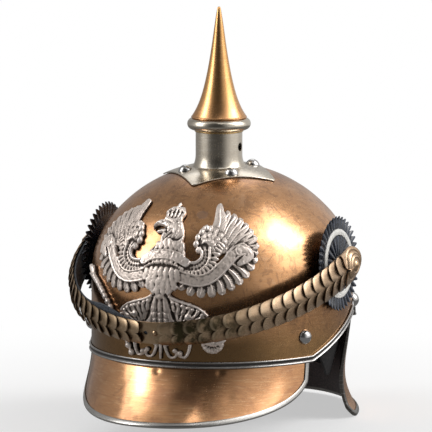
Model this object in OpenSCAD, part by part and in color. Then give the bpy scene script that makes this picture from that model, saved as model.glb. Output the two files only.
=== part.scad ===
// Cuirassier helmet with chinscales, spread-eagle plate and screw-on spike.
// Z is up, the visor faces -Y, and the helmet stands on its neck guard.

/* [Skull] */
// Width over the widest part of the bowl
skull_w = 206; // [200:1:212]
// Length of the bowl from front to back
skull_l = 227; // [218:1:234]
// Height from the crown down to the front edge
skull_h = 146; // [140:1:150]
// Depth of the widest line below the crown
belt_drop = 87.3; // [84:0.1:90]
// How much flatter than a ball the top is: its radius over half the width
crown_flat = 9; // [7:0.5:13]
// Sheet thickness of the bowl
skull_t = 0.9; // [0.7:0.1:1.1]
// Distance of the bowl's middle behind the spike
skull_back = 6.5; // [4:0.5:9]
// Radius of the airing hole under the spike
crown_hole_r = 12; // [8:0.5:15]

/* [Ear cut-outs and seam] */
// Angle from the front at which the edge starts to rise
ear_front_angle = 69.4; // [66:0.2:72]
// Angle from the front at which the neck guard starts
ear_rear_angle = 108; // [105:0.5:111]
// Height of the neck guard's seam above the front edge, beside the ear
seam_rise = 30; // [26:1:34]
// Further depth of the seam at the back
seam_dip = 16; // [8:1:20]

/* [Visor] */
// Height of the visor below the bowl's edge
visor_drop = 44; // [36:1:50]
// Forward reach of the visor beyond the bowl
visor_flare = 35.4; // [28:0.2:42]
// Sideways reach of the visor beyond the bowl
visor_side = 1.8; // [0:0.1:4]
// Sheet thickness of visor and neck guard
plate_t = 0.8; // [0.6:0.1:1]
// Height of the flange inside the bowl
flange_h = 12; // [10:1:14]
// Extra height of the visor's two rivet lugs
lug_h = 14; // [12:1:16]

/* [Neck guard] */
// Height of the neck guard below the seam beside the ear
neck_drop = 91; // [82:1:98]
// Backward reach of the neck guard beyond the bowl
neck_flare = 38.8; // [30:0.2:46]
// Inward waist of the neck guard below the ears
neck_waist = 10.7; // [6:0.1:13]
// Rise of the lower edge at the back
neck_rise = 3; // [0:0.5:8]

/* [Edges and linings] */
// Width of the folded edge channel
rim_w = 4.4; // [3.6:0.2:5.2]
// Thickness of the channel over the sheet
rim_t = 3; // [2.6:0.1:3.4]
// Height of the trim band on the bowl's edge
trim_w = 5.2; // [4.4:0.2:6.4]
// Thickness of the trim band
trim_t = 1.6; // [1.2:0.1:2]
// Thickness of the leather linings
lining_t = 1.3; // [1:0.1:1.6]
// Number of leather tongues in the liner
tongue_count = 10; // [8:1:12]

/* [Front plate] */
// Height of the highest relief
relief_h = 4.2; // [3.4:0.1:5]
// Sheet thickness at the edge of the relief
relief_edge = 0.9; // [0.7:0.1:1.2]
// Radius of the threaded posts
post_r = 1.5; // [1.2:0.1:1.8]

/* [Neck and spike] */
// Radius of the neck
neck_r = 18.7; // [17:0.1:20]
// Wall of the neck
neck_wall = 1.2; // [1:0.1:1.6]
// Height of the neck above the crown
neck_h = 26.5; // [22:0.5:32]
// Distance of the foot plate's corners from the axis
foot_corner = 49.5; // [48:0.5:53]
// Distance of the foot plate's rivets from the axis
foot_rivet_c = 28.5; // [28.2:0.1:29]
// Radius of the two vent holes
vent_r = 3.5; // [2.5:0.1:4.5]
// Outer radius of the ring under the spike
ring_r = 25.4; // [23:0.1:27]
// Height of that ring
ring_h = 9.4; // [8:0.1:11]
// Length of the spike
spike_l = 88.5; // [75:0.5:105]
// Radius of the spike's foot
spike_r = 22; // [19:0.1:23]
// Radius of the spike's tip
tip_r = 1.2; // [0.9:0.1:1.6]
// Radius of the spike's threaded stud
stud_r = 6; // [5:0.1:7]
// Length of the stud below the ring
stud_l = 12; // [11:0.5:14]

/* [Chinscale] */
// Depth of the chinscale's pivot below the crown
hinge_drop = 74; // [70:0.5:78]
// Distance of the pivot behind the spike
hinge_back = 2; // [0:0.5:5]
// Downward tilt of the strap
strap_tilt_angle = 18.8; // [15:0.2:22]
// Distance of the leather's face from the bowl, beside the pivot
strap_aside = 9; // [8.5:0.5:11]
// Distance of the leather's face from the bowl's front, along the strap's plane
strap_ahead = 27; // [24:0.5:31]
// Thickness of the leather
leather_t = 2; // [1.5:0.1:2.4]
// Width of the scales at the boss
scale_w_boss = 29; // [26:0.5:31]
// Width of the scales at the front
scale_w_front = 19; // [17:0.5:22]
// Thickness of a scale
scale_t = 0.6; // [0.5:0.1:0.8]
// Number of scales on each side
scale_count = 17; // [15:1:18]
// Radius of the pin on which the strap turns
pin_r = 2.2; // [1.8:0.1:2.6]

/* [Cockades] */
// Radius over the teeth
cockade_r = 37.8; // [34:0.2:40]
// Outer radius of the smooth ring
band_r = 28.8; // [26:0.2:30]
// Radius of the pleated centre
centre_r = 22.3; // [19:0.1:24]
// Number of teeth
teeth = 40; // [32:1:44]
// Lean of the disc
cockade_lean_angle = 3.5; // [2:0.5:4]

/* [Rivets] */
// Radius of the large rivet heads
big_head_r = 6; // [5:0.1:7]
// Height of the large rivet heads
big_head_h = 4.4; // [3.5:0.1:5]
// Radius of the rivet shanks
shank_r = 1.6; // [1.3:0.1:2]
// Radius of the foot plate's rivet heads
foot_head_r = 5.6; // [5:0.1:5.7]

/* [Hidden] */

// Clearances: between fixed sheets, between fixed flat faces, round a pin, and of moving faces
sheet_gap = 0.4;
seat_gap = 0.1;
pin_gap = 0.05;
run_gap = 0.3;

// Proportions of the bowl
skull_a = skull_w / 2;
oval = skull_l / skull_w;
crown_r = skull_a + crown_flat;
seam_drop = skull_h - seam_rise;
strap_a = skull_a + strap_aside;
strap_b = skull_l / 2 - skull_back + hinge_back + strap_ahead;
side_r = (sq(crown_r) - sq(skull_a) - sq(crown_r - belt_drop)) / (2 * (crown_r - skull_a));
side_in = skull_a - side_r;
join_angle = acos((crown_r - belt_drop) / (crown_r - side_r));
join_z = -crown_r * (1 - cos(join_angle));
hole_angle = asin(crown_hole_r / crown_r);
back_span = 180 - ear_rear_angle;

function sq(x) = x * x;
function unit(v) = v / norm(v);
function clamp01(x) = min(1, max(0, x));
function smooth(x) = let(c = clamp01(x)) c * c * (3 - 2 * c);
function from_front(az) = az > 180 ? 360 - az : abs(az);

// Bowl: radius and outward normal at a height, and a point at a distance h off its surface
function skull_r(z) = z > join_z ? sqrt(max(0, sq(crown_r) - sq(z + crown_r)))
  : z > -belt_drop ? side_in + sqrt(sq(side_r) - sq(z + belt_drop)) : skull_a;
function skull_rise(z) = z > join_z ? (z + crown_r) / max(1, skull_r(z))
  : z > -belt_drop ? (z + belt_drop) / (skull_r(z) - side_in) : 0;
function skull_n(az, z) = unit([sin(az), -cos(az) / oval, skull_rise(z)]);
function on_skull(az, z, h = 0) = h * skull_n(az, z)
  + [skull_r(z) * sin(az), skull_back - oval * skull_r(z) * cos(az), z];
function plan_y(az) = skull_back - oval * skull_a * cos(az);

// Height of the bowl's lower edge: level in front, rising past the ear, dipping behind
function edge_z(az) = from_front(az) > ear_rear_angle
  ? -seam_drop - seam_dip * sin(90 * (from_front(az) - ear_rear_angle) / back_span)
  : -skull_h + (skull_h - seam_drop)
    * clamp01((plan_y(az) - plan_y(ear_front_angle)) / (plan_y(ear_rear_angle) - plan_y(ear_front_angle)));

// Angles of the stations round the bowl, closer together near the corners
front_az = [for (i = [-10:10]) let(q = i / 10) ear_front_angle * (q + 0.5 * sin(180 * q) / PI)];
ear_az = [for (i = [1:4]) ear_front_angle + (ear_rear_angle - ear_front_angle) * i / 5];
back_az = [for (i = [0:22]) let(q = i / 22)
  ear_rear_angle + 2 * back_span * (q - 0.5 * sin(360 * q) / (2 * PI))];
ring_az = concat(front_az, ear_az, back_az, [for (i = [3:-1:0]) 360 - ear_az[i]]);
trim_az = concat([-ear_rear_angle], [for (i = [3:-1:0]) -ear_az[i]], front_az, ear_az, [ear_rear_angle]);

// Solid between two grids of points; a wrapped grid joins its last column to its first
module sheet(outer, inner, wrap = false) {
  m = len(outer);
  n = len(outer[0]);
  cols = wrap ? n : n - 1;
  function at(s, i, j) = (s * m + i) * n + j % n;
  function cell(a, b, c, d) = [[a, c, b], [a, d, c]];
  skin = [for (i = [0:m - 2], j = [0:cols - 1]) each concat(
    cell(at(0, i, j), at(0, i, j + 1), at(0, i + 1, j + 1), at(0, i + 1, j)),
    cell(at(1, i, j), at(1, i + 1, j), at(1, i + 1, j + 1), at(1, i, j + 1)))];
  edges = [for (j = [0:cols - 1]) each concat(
    cell(at(1, 0, j), at(1, 0, j + 1), at(0, 0, j + 1), at(0, 0, j)),
    cell(at(0, m - 1, j), at(0, m - 1, j + 1), at(1, m - 1, j + 1), at(1, m - 1, j)))];
  ends = wrap ? [] : [for (i = [0:m - 2]) each concat(
    cell(at(1, i, 0), at(0, i, 0), at(0, i + 1, 0), at(1, i + 1, 0)),
    cell(at(0, i, n - 1), at(1, i, n - 1), at(1, i + 1, n - 1), at(0, i + 1, n - 1)))];
  polyhedron([for (g = [outer, inner]) for (row = g) each row], concat(skin, edges, ends));
}

// Solid bar through rings of points, each ring running clockwise seen from the bar's far end
module bar(rings) {
  m = len(rings);
  n = len(rings[0]);
  sides = [for (i = [0:m - 2], j = [0:n - 1]) let(k = (j + 1) % n) each
    [[i * n + j, i * n + k, i * n + n + k], [i * n + j, i * n + n + k, i * n + n + j]]];
  caps = [for (j = [1:n - 2]) each
    [[0, j + 1, j], [m * n - n, m * n - n + j, m * n - n + j + 1]]];
  polyhedron([for (r = rings) each r], concat(sides, caps));
}

// Moves a shape built along Z onto the bowl, with Z along the bowl's normal
module on_wall(az, z, h = 0) {
  p = on_skull(az, z, h);
  v = skull_n(az, z);
  translate(p) rotate([0, acos(v[2]), atan2(v[1], v[0])]) children();
}

// Domed rivet head of radius r and height h, standing on Z = 0
module dome(r, h) {
  big = (sq(r) + sq(h)) / (2 * h);
  rotate_extrude($fn = 48) intersection() {
    translate([0, h - big]) circle(big, $fn = 96);
    square([r, h]);
  }
}

// Visor and neck guard: middle surface of the sheet; u or t is 0 at the bowl's edge
wall_in = skull_t + sheet_gap + plate_t / 2;
function visor_z(az, u) = u < 0
  ? -skull_h - u * (flange_h + lug_h * smooth((abs(az) - 55) / 6))
  : -skull_h - visor_drop * u;
function visor_end(az) = pow(1 - pow(abs(az) / ear_front_angle, 3), 1 / 3);
function visor(az, u) = let(q = max(0, u))
  [(skull_a - wall_in + visor_side * q) * sin(az),
   skull_back - (oval * (skull_a - wall_in) + visor_flare * pow(q, 1.3)) * cos(az),
   visor_z(az, u)];
function neck_bottom(az) = -seam_drop - neck_drop
  + neck_rise * smooth((from_front(az) - ear_rear_angle) / back_span);
function neck_z(az, t) = t < 0 ? edge_z(az) - t * flange_h
  : edge_z(az) + t * (neck_bottom(az) - edge_z(az));
function neck(az, t) = let(q = pow(max(0, t), 1.6))
  [(skull_a - wall_in - neck_waist * sin(165 * q)) * sin(az),
   skull_back - (oval * (skull_a - wall_in) + neck_flare * q) * cos(az),
   neck_z(az, t)];
function neck_end(az) = 1 - 0.09 * sq(clamp01(1 - (from_front(az) - ear_rear_angle) / 7));
function visor_n(az, u) = unit(cross(visor(az + 0.5, u) - visor(az - 0.5, u),
  visor(az, u - 0.01) - visor(az, u + 0.01)));
function neck_n(az, t) = unit(cross(neck(az + 0.5, t) - neck(az - 0.5, t),
  neck(az, t - 0.01) - neck(az, t + 0.01)));
function on_visor(az, u, h) = visor(az, u) + h * visor_n(az, u);
function on_neck(az, t, h) = neck(az, t) + h * neck_n(az, t);

visor_az = [for (a = front_az) a * 68 / 69.4];
visor_rows = [1, 0.75, 0.5, 0.25, 0.001, -1];
neck_rows = [1, 0.955, 0.86, 0.72, 0.58, 0.44, 0.28, 0.12, 0.001, -1];
function visor_u(az, v) = v < 0 ? v : v * visor_end(az);
function neck_t(az, v) = v < 0 ? v : v * neck_end(az);

// Edge lines of visor and neck guard, as pairs of angle and depth
visor_edge = concat(
  [for (v = [0.1, 0.5, 0.75]) [visor_az[0], v * visor_end(visor_az[0])]],
  [for (a = visor_az) [a, visor_end(a)]],
  [for (v = [0.75, 0.5, 0.1]) [visor_az[20], v * visor_end(visor_az[20])]]);
neck_edge = concat(
  [for (v = concat([0.06], [for (i = [6:-1:2]) neck_rows[i]])) [back_az[0], v * neck_end(back_az[0])]],
  [for (a = back_az) [a, neck_end(a)]],
  [for (v = concat([for (i = [2:6]) neck_rows[i]], [0.06])) [back_az[22], v * neck_end(back_az[22])]]);

// Channel section round a sheet's edge: distance beyond the edge, distance off the sheet
rim_slot = plate_t / 2 + 0.25;
rim_out = 1.1;
rim_outer = [[rim_out - rim_w, -rim_t * 0.4], [0.1, -rim_t * 0.5], [rim_out, 0],
  [0.1, rim_t * 0.5], [rim_out - rim_w, rim_t * 0.4]];
rim_inner = [[rim_out - rim_w, -rim_slot], [0.1, -rim_slot], [0.15, 0],
  [0.1, rim_slot], [rim_out - rim_w, rim_slot]];
function rim_grid(points, normals, section) = [for (s = section) [for (i = [0:len(points) - 1])
  let(along = unit(points[min(i + 1, len(points) - 1)] - points[max(i - 1, 0)]),
    beyond = unit(cross(along, normals[i])))
  points[i] + s[0] * beyond + s[1] * normals[i]]];
visor_edge_p = [for (e = visor_edge) visor(e[0], e[1])];
visor_edge_n = [for (e = visor_edge) visor_n(e[0], e[1])];
neck_edge_p = [for (e = neck_edge) neck(e[0], e[1])];
neck_edge_n = [for (e = neck_edge) neck_n(e[0], e[1])];
visor_rim_out = rim_grid(visor_edge_p, visor_edge_n, rim_outer);
neck_rim_out = rim_grid(neck_edge_p, neck_edge_n, rim_outer);

// The helmet stands on the lowest point of the neck guard, over its middle
lift = -min([for (row = neck_rim_out) for (p = row) p[2]]);
front_y = min([for (row = visor_rim_out) for (p = row) p[1]]);
rear_y = max([for (row = neck_rim_out) for (p = row) p[1]]);
module placed() {
  translate([0, -(front_y + rear_y) / 2, lift]) children();
}

// Places of the rivets: angle and height
front_rivet = [65.5, -skull_h + 18.4];
rear_rivet = [115, edge_z(115) + 7.5];
back_rivet = [180, edge_z(180) + 7.5];
shell_rivet_at = [front_rivet, [-front_rivet[0], front_rivet[1]],
  rear_rivet, [360 - rear_rivet[0], rear_rivet[1]], back_rivet];
liner_h = wall_in + plate_t / 2 + lining_t + 4 * sheet_gap;

module skull() {
  low = ceil((90 - join_angle) / 10);
  high = ceil((join_angle - hole_angle) / 9);
  rows = concat([for (i = [0:low]) let(a = 90 - (90 - join_angle) * i / low) -belt_drop + side_r * cos(a)],
    [for (i = [1:high]) let(a = join_angle + (hole_angle - join_angle) * i / high) -crown_r * (1 - cos(a))]);
  function grid(h) = concat([[for (a = ring_az) on_skull(a, edge_z(a), h)]],
    [for (z = rows) [for (a = ring_az) on_skull(a, z, h)]]);
  color("peru") placed() difference() {
    sheet(grid(0), grid(-skull_t), wrap = true);
    for (r = shell_rivet_at) on_wall(r[0], r[1]) cylinder(r = shank_r + seat_gap, h = 10, center = true, $fn = 32);
    for (p = post_at) on_wall(p[0], p[1]) cylinder(r = post_r + seat_gap, h = 10, center = true, $fn = 32);
    for (a = [45:90:315]) foot_axis(a) cylinder(r = shank_r + seat_gap, h = 10, center = true, $fn = 32);
    for (s = [-1, 1]) translate([s * skull_a, hinge_back, -hinge_drop])
      rotate([0, 90, 0]) cylinder(r = pin_r + seat_gap, h = 30, center = true, $fn = 32);
  }
}

// Band along the bowl's edge, with a bead at each side of a shallow groove
module skull_trim() {
  low = -trim_w / 2;
  high = trim_w / 2;
  ring = [[low, sheet_gap], [low + 0.3, trim_t + sheet_gap], [low + 1.4, trim_t], [high - 1.4, trim_t],
    [high - 0.3, trim_t + sheet_gap], [high, sheet_gap]];
  color("lightgray") placed() bar([for (a = trim_az) [for (s = ring)
    on_skull(a, edge_z(a) + 0.4 + s[0], s[1])]]);
}

// Band over the seam of the neck guard, with a lip that stands off behind
module neck_seam_band() {
  ring = [[-5, 1.2], [-4.4, 2.9], [-1, 2.2], [2, 1.7], [2.6, sheet_gap], [-2, sheet_gap]];
  color("lightgray") placed() bar([for (a = back_az) let(b = 180 + (a - 180) * 0.992) [for (s = ring)
    on_skull(b, edge_z(b) + s[0], s[1])]]);
}

module visor() {
  function grid(h) = [for (v = visor_rows) [for (a = visor_az) on_visor(a, visor_u(a, v), h)]];
  color("peru") placed() difference() {
    sheet(grid(plate_t / 2), grid(-plate_t / 2));
    for (s = [-1, 1]) on_wall(s * front_rivet[0], front_rivet[1])
      cylinder(r = shank_r + seat_gap, h = 10, center = true, $fn = 32);
  }
}

module neck_guard() {
  function grid(h) = [for (v = neck_rows) [for (a = back_az) on_neck(a, neck_t(a, v), h)]];
  color("peru") placed() difference() {
    sheet(grid(plate_t / 2), grid(-plate_t / 2));
    for (i = [2:4]) on_wall(shell_rivet_at[i][0], shell_rivet_at[i][1])
      cylinder(r = shank_r + seat_gap, h = 10, center = true, $fn = 32);
  }
}

module visor_rim() {
  color("gainsboro") placed() sheet(visor_rim_out, rim_grid(visor_edge_p, visor_edge_n, rim_inner));
}

module neck_guard_rim() {
  color("gainsboro") placed() sheet(neck_rim_out, rim_grid(neck_edge_p, neck_edge_n, rim_inner));
}

// Leather under the visor, from the bowl's edge to the channel
module visor_lining() {
  stop = (rim_w - rim_out + sheet_gap) / visor_drop;
  top = 0.08;
  az = [for (a = visor_az) a * 0.955];
  function low(a) = visor_end(min(ear_front_angle, abs(a) + 3.5)) - stop;
  function grid(h) = [for (v = [1, 0.66, 0.33, 0])
    [for (a = az) on_visor(a, top + v * (low(a) - top), h)]];
  color("darkolivegreen") placed()
    sheet(grid(-plate_t / 2 - sheet_gap), grid(-plate_t / 2 - sheet_gap - lining_t));
}

module neck_guard_lining() {
  stop = (rim_w - rim_out + sheet_gap) / neck_drop;
  az = [for (a = back_az) 180 + (a - 180) * 0.955];
  function grid(h) = [for (v = [1, 0.86, 0.72, 0.58, 0.44, 0.28, 0.12])
    [for (a = az) on_neck(a, min(v, 1 - stop) * neck_end(a), h)]];
  color("saddlebrown") placed()
    sheet(grid(-plate_t / 2 - 2 * sheet_gap), grid(-plate_t / 2 - 2 * sheet_gap - lining_t));
}

// Sweatband: close to the wall above, drawn in and longer behind the ears
liner_top = -seam_drop + 18;
liner_turn = -seam_drop - 2;
function liner_low(az) = -skull_h + 5 - 28 * smooth((plan_y(az) + 25) / 60);
function liner_in(z) = liner_h + 13 * clamp01((liner_turn - z) / 51);
function washer_h(z) = liner_in(z - 5) + lining_t + sheet_gap;
module liner_band() {
  function rows(a) = [liner_low(a), (liner_low(a) + liner_turn) / 2, liner_turn, liner_top];
  function grid(h) = [for (i = [0:3]) [for (a = ring_az) let(z = rows(a)[i])
    on_skull(a, z, -liner_in(z) - h)]];
  color("dimgray") placed() difference() {
    sheet(grid(0), grid(lining_t), wrap = true);
    for (r = shell_rivet_at) on_wall(r[0], r[1])
      cylinder(r = shank_r + seat_gap, h = 2 * washer_h(r[1]) + 4, center = true, $fn = 32);
  }
}

// Leather tongues that rise from the sweatband and meet below the crown
module liner_tongues() {
  span = 360 / tongue_count;
  base_h = liner_h + lining_t + sheet_gap;
  function tongue_z(v) = liner_top - 6 + v * 84;
  function half(v) = span * 0.47 * (1 - 0.12 * v - 0.62 * pow(v, 3));
  function grid(k, h) = [for (i = [0:5]) [for (j = [-1:1])
    on_skull((k + 0.5) * span + j * half(i / 5), tongue_z(i / 5), -base_h - 7 * sin(18 * i) - h)]];
  color("dimgray") placed() for (k = [0:tongue_count - 1]) sheet(grid(k, 0), grid(k, lining_t));
}

module shell_rivets() {
  for (r = shell_rivet_at) color("silver") placed() on_wall(r[0], r[1], sheet_gap) {
    dome(big_head_r, big_head_h);
    translate([0, 0, -washer_h(r[1]) - 1.6]) cylinder(r = shank_r, h = washer_h(r[1]) + 1.7, $fn = 32);
  }
}

module shell_rivet_washers() {
  for (r = shell_rivet_at) color("silver") placed() on_wall(r[0], r[1], -washer_h(r[1]) - 1)
    difference() {
      cylinder(r = 4, h = 1, $fn = 32);
      cylinder(r = shank_r + pin_gap, h = 3, center = true, $fn = 32);
    }
}

// Foot plate of the neck: square with its corners to the front, the back and the sides
function dome_z(x, y) = -crown_r + sqrt(sq(crown_r) - sq(x) - sq((y - skull_back) / oval));
function dome_n(x, y) = unit([x, (y - skull_back) / sq(oval), dome_z(x, y) + crown_r]);
function on_dome(x, y, h) = [x, y, dome_z(x, y)] + h * dome_n(x, y);
foot_t = 1;
fillet_r = foot_rivet_c - foot_head_r - neck_r - 0.3;
foot_top = 8;
module foot_axis(a, h = 0) {
  v = dome_n(foot_rivet_c * sin(a), -foot_rivet_c * cos(a));
  translate(on_dome(foot_rivet_c * sin(a), -foot_rivet_c * cos(a), h))
    rotate([0, acos(v[2]), atan2(v[1], v[0])]) children();
}
module neck_sheet() {
  az = [for (i = [0:47]) i * 360 / 48];
  function square_r(a) = foot_corner / (abs(sin(a)) + abs(cos(a)));
  function ring(r, h) = [for (a = az) on_dome(r * sin(a), -r * cos(a), h)];
  function between(a, part) = square_r(a) + part * (neck_r + fillet_r - square_r(a));
  function edge(h, part = 0) = [for (a = az) on_dome(between(a, part) * sin(a), -between(a, part) * cos(a), h)];
  function level(r, z) = [for (a = az) [r * sin(a), -r * cos(a), z]];
  high = foot_t + sheet_gap;
  bore = neck_r - neck_wall;
  sheet([edge(high), edge(high, 0.35), edge(high, 0.7), ring(neck_r + fillet_r, high),
    ring(neck_r + 0.4 * fillet_r, high + 1),
    ring(neck_r + 0.12 * fillet_r, high + 3), level(neck_r, foot_top), level(neck_r, neck_h)],
    [edge(sheet_gap), edge(sheet_gap, 0.35), edge(sheet_gap, 0.7), ring(neck_r + fillet_r, sheet_gap),
    ring(neck_r + 1, sheet_gap),
    ring(bore, sheet_gap + 0.2), level(bore, foot_top), level(bore, neck_h)], wrap = true);
}
module spike_neck() {
  color("lightgray") placed() difference() {
    neck_sheet();
    translate([0, 0, 15]) rotate([0, 90, 0]) cylinder(r = vent_r, h = 60, center = true, $fn = 48);
    for (a = [45:90:315]) foot_axis(a) cylinder(r = shank_r + seat_gap, h = 10, center = true, $fn = 32);
  }
}

module neck_rivets() {
  for (a = [45:90:315]) color("silver") placed() foot_axis(a, foot_t + sheet_gap + seat_gap) {
    dome(foot_head_r, 4);
    translate([0, 0, -6.5]) cylinder(r = shank_r, h = 6.6, $fn = 32);
  }
}

module neck_nuts() {
  for (a = [45:90:315]) color("silver") placed() foot_axis(a, -skull_t - sheet_gap - 2.3) difference() {
    translate([0, 0, 1]) cube([8, 8, 2], center = true);
    cylinder(r = shank_r + pin_gap, h = 6, center = true, $fn = 32);
  }
}

// Flanged bush in the top of the neck, bored for the spike's stud
bush_t = 1.5;
bush_bore = stud_r + pin_gap;
module spike_bush() {
  inner = neck_r - neck_wall - seat_gap;
  color("goldenrod") placed() translate([0, 0, neck_h + seat_gap]) rotate_extrude($fn = 96) polygon([
    [bush_bore, bush_t], [neck_r + 0.9, bush_t], [neck_r + 0.9, 0], [inner, 0], [inner, -4],
    [bush_bore + 3, -4], [bush_bore + 3, -stud_l - 1], [bush_bore, -stud_l - 1]]);
}

ring_z = neck_h + seat_gap + bush_t + seat_gap;
module spike_ring() {
  round_r = ring_h / 2;
  color("silver") placed() translate([0, 0, ring_z]) rotate_extrude($fn = 96) difference() {
    union() {
      square([ring_r - round_r, ring_h]);
      translate([ring_r - round_r, round_r]) circle(round_r, $fn = 64);
    }
    translate([-1, -1]) square([bush_bore + 1, ring_h + 2]);
  }
}

// Spike: slender cone that sweeps out to a rounded foot
spike_z = ring_z + ring_h + seat_gap;
lip = 1.4;
plug_r = 18.5;
plug_t = 3;
function spike_part(q) = 0.49 * q + 0.04 * (1 - exp(-11 * q)) + 0.31 * pow(q, 3) + 0.16 * pow(q, 10);
function spike_at(q) = tip_r + (spike_r - tip_r) * spike_part(q);
function spike_h(q) = lip + (spike_l - lip) * (1 - q) - 0.3;
module spike() {
  wall = 1.3;
  color("peru") placed() translate([0, 0, spike_z]) rotate_extrude($fn = 96) polygon(concat(
    [[plug_r, 0], [spike_r - lip, 0], [spike_r - 0.3 * lip, 0.3 * lip], [spike_r, lip]],
    [for (i = [27:-1:0]) let(q = pow(i / 28, 0.8)) [spike_at(q) - 0.01, spike_h(q)]],
    [[0, spike_l], [0, spike_h(0.12)]],
    [for (i = [0:11]) let(q = 0.18 + 0.77 * i / 11) [spike_at(q) - wall, spike_h(q)]],
    [[plug_r, plug_t + 0.3]]));
}

// Threaded stud on the plug that closes the spike
module spike_stud() {
  color("goldenrod") placed() translate([0, 0, spike_z]) rotate_extrude($fn = 96) polygon([
    [0, -ring_h - bush_t - stud_l], [stud_r, -ring_h - bush_t - stud_l], [stud_r, seat_gap],
    [plug_r - pin_gap, seat_gap], [plug_r - pin_gap, plug_t], [0, plug_t]]);
}

// Strap line: half of an ellipse in a plane tilted about the pivot's axis
front_turn_r = sq(strap_a) / strap_b;
function strap_p(th) = [strap_a * sin(th), -strap_b * cos(th)];
function strap_n(th) = unit([sin(th) / strap_a, -cos(th) / strap_b]);
strap_table = [for (i = 0, s = 0; i <= 90; s = s + norm(strap_p(i + 1) - strap_p(i)), i = i + 1) [s, i]];
strap_len = strap_table[90][0];
boss_reach = 11;
clasp_half = 11;
scale_pitch = (strap_len - boss_reach - clasp_half) / scale_count;
scale_root = 3;
scale_over = 2;
scale_lift_angle = 4.5;
function strap_th(s) = lookup(s, strap_table);
function strap_w(s) = scale_w_front + (scale_w_boss - scale_w_front) * s / strap_len;

// Puts a shape on the strap: X outward, -Y towards the front, Z across
module on_strap(s, side, h = 0) {
  th = strap_th(s);
  v = strap_n(th);
  p = strap_p(th) + h * v;
  mirror([side < 0 ? 1 : 0, 0, 0]) translate([0, hinge_back, -hinge_drop]) rotate([strap_tilt_angle, 0, 0])
    translate([p[0], p[1], 0]) rotate([0, 0, atan2(v[1], v[0])]) children();
}

// Arched scale as a sheet: each column runs from the root to the edge of one of the two lobes
module shingle(w, back, ahead) {
  arch_r = 1.05 * w;
  lobe = w / 4;
  columns = [for (s = [-1, 1], a = [0:45:180]) if (s < 0 || a > 0) lobe * (s - cos(a))];
  function side_z(c) = sqrt(sq(arch_r) - sq(c)) - sqrt(sq(arch_r) - sq(w / 2));
  function row(h, part) = [for (c = columns) let(k = 1 + h / arch_r,
      tip = lobe - ahead - sqrt(max(0, sq(lobe) - sq(abs(c) - lobe))))
    [side_z(c) * k + h * 0.9, back + part * (tip - back), c * k]];
  sheet([row(scale_t, 0), row(scale_t, 1)], [row(0, 0), row(0, 1)]);
}

module scales(side) {
  for (k = [0:scale_count - 1]) let(s = clasp_half + (k + 0.72) * scale_pitch)
    color("darkkhaki") placed() on_strap(s, side, 0.3) rotate([0, 0, scale_lift_angle])
      shingle(strap_w(s), scale_root, scale_pitch + scale_over);
}
module scales_left() { scales(1); }
module scales_right() { scales(-1); }

// End piece: a round-backed scale with a raised boss, bored for the pin
boss_foot = 2.2;
boss_top = 6.6;
boss_h = 1;
boss_r = 11.5;
boss_ahead = 15;
module end_boss(side) {
  w = scale_w_boss;
  arch_r = 1.05 * w;
  drop = arch_r - sqrt(sq(arch_r) - sq(w / 2));
  lobe = w / 4;
  color("goldenrod") placed() on_strap(strap_len, side, boss_h) difference() {
    union() {
      intersection() {
        translate([drop - arch_r, 0, 0]) rotate([90, 0, 0])
          cylinder(r = arch_r + scale_t, h = 80, center = true, $fn = 128);
        translate([-1, 0, 0]) rotate([90, 0, 90]) linear_extrude(arch_r) union() {
          translate([lobe - boss_ahead, -w / 2]) square([boss_ahead - lobe, w]);
          for (e = [-1, 1]) translate([lobe - boss_ahead, e * lobe]) circle(lobe, $fn = 48);
          circle(w / 2, $fn = 96);
        }
      }
      translate([boss_foot, 0, 0]) rotate([0, 90, 0]) rotate_extrude($fn = 96) polygon(concat(
        [[0, -4], [boss_r, -4]],
        [for (i = [0:8]) [boss_r * cos(i * 9), (boss_top - boss_foot) * sin(i * 9) / sin(72)]],
        [[0, boss_top - boss_foot]]));
    }
    translate([drop - arch_r, 0, 0]) rotate([90, 0, 0]) cylinder(r = arch_r, h = 90, center = true, $fn = 128);
    rotate([0, 90, 0]) cylinder(r = pin_r + pin_gap, h = 30, center = true, $fn = 64);
  }
}
module end_boss_left() { end_boss(1); }
module end_boss_right() { end_boss(-1); }

// Leather under the scales, rounded round the pin
module strap(side) {
  steps = 22;
  s_at = [for (i = [0:steps]) 0.6 + (strap_len - 0.6) * i / steps];
  function edge(h, up) = [for (s = s_at) let(th = strap_th(s), p = strap_p(th) + h * strap_n(th))
    [p[0], p[1], up * 0.44 * strap_w(s)]];
  color("saddlebrown") placed() difference() {
    mirror([side < 0 ? 1 : 0, 0, 0]) translate([0, hinge_back, -hinge_drop]) rotate([strap_tilt_angle, 0, 0])
      union() {
        sheet([edge(0, -1), edge(0, 1)], [edge(-leather_t, -1), edge(-leather_t, 1)]);
        translate([strap_a - leather_t, 0, 0]) rotate([0, 90, 0])
          cylinder(r = 0.44 * scale_w_boss, h = leather_t, $fn = 64);
      }
    translate([side * strap_a, hinge_back, -hinge_drop]) rotate([0, 90, 0])
      cylinder(r = pin_r + run_gap, h = 30, center = true, $fn = 32);
  }
}
module strap_left() { strap(1); }
module strap_right() { strap(-1); }

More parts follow.
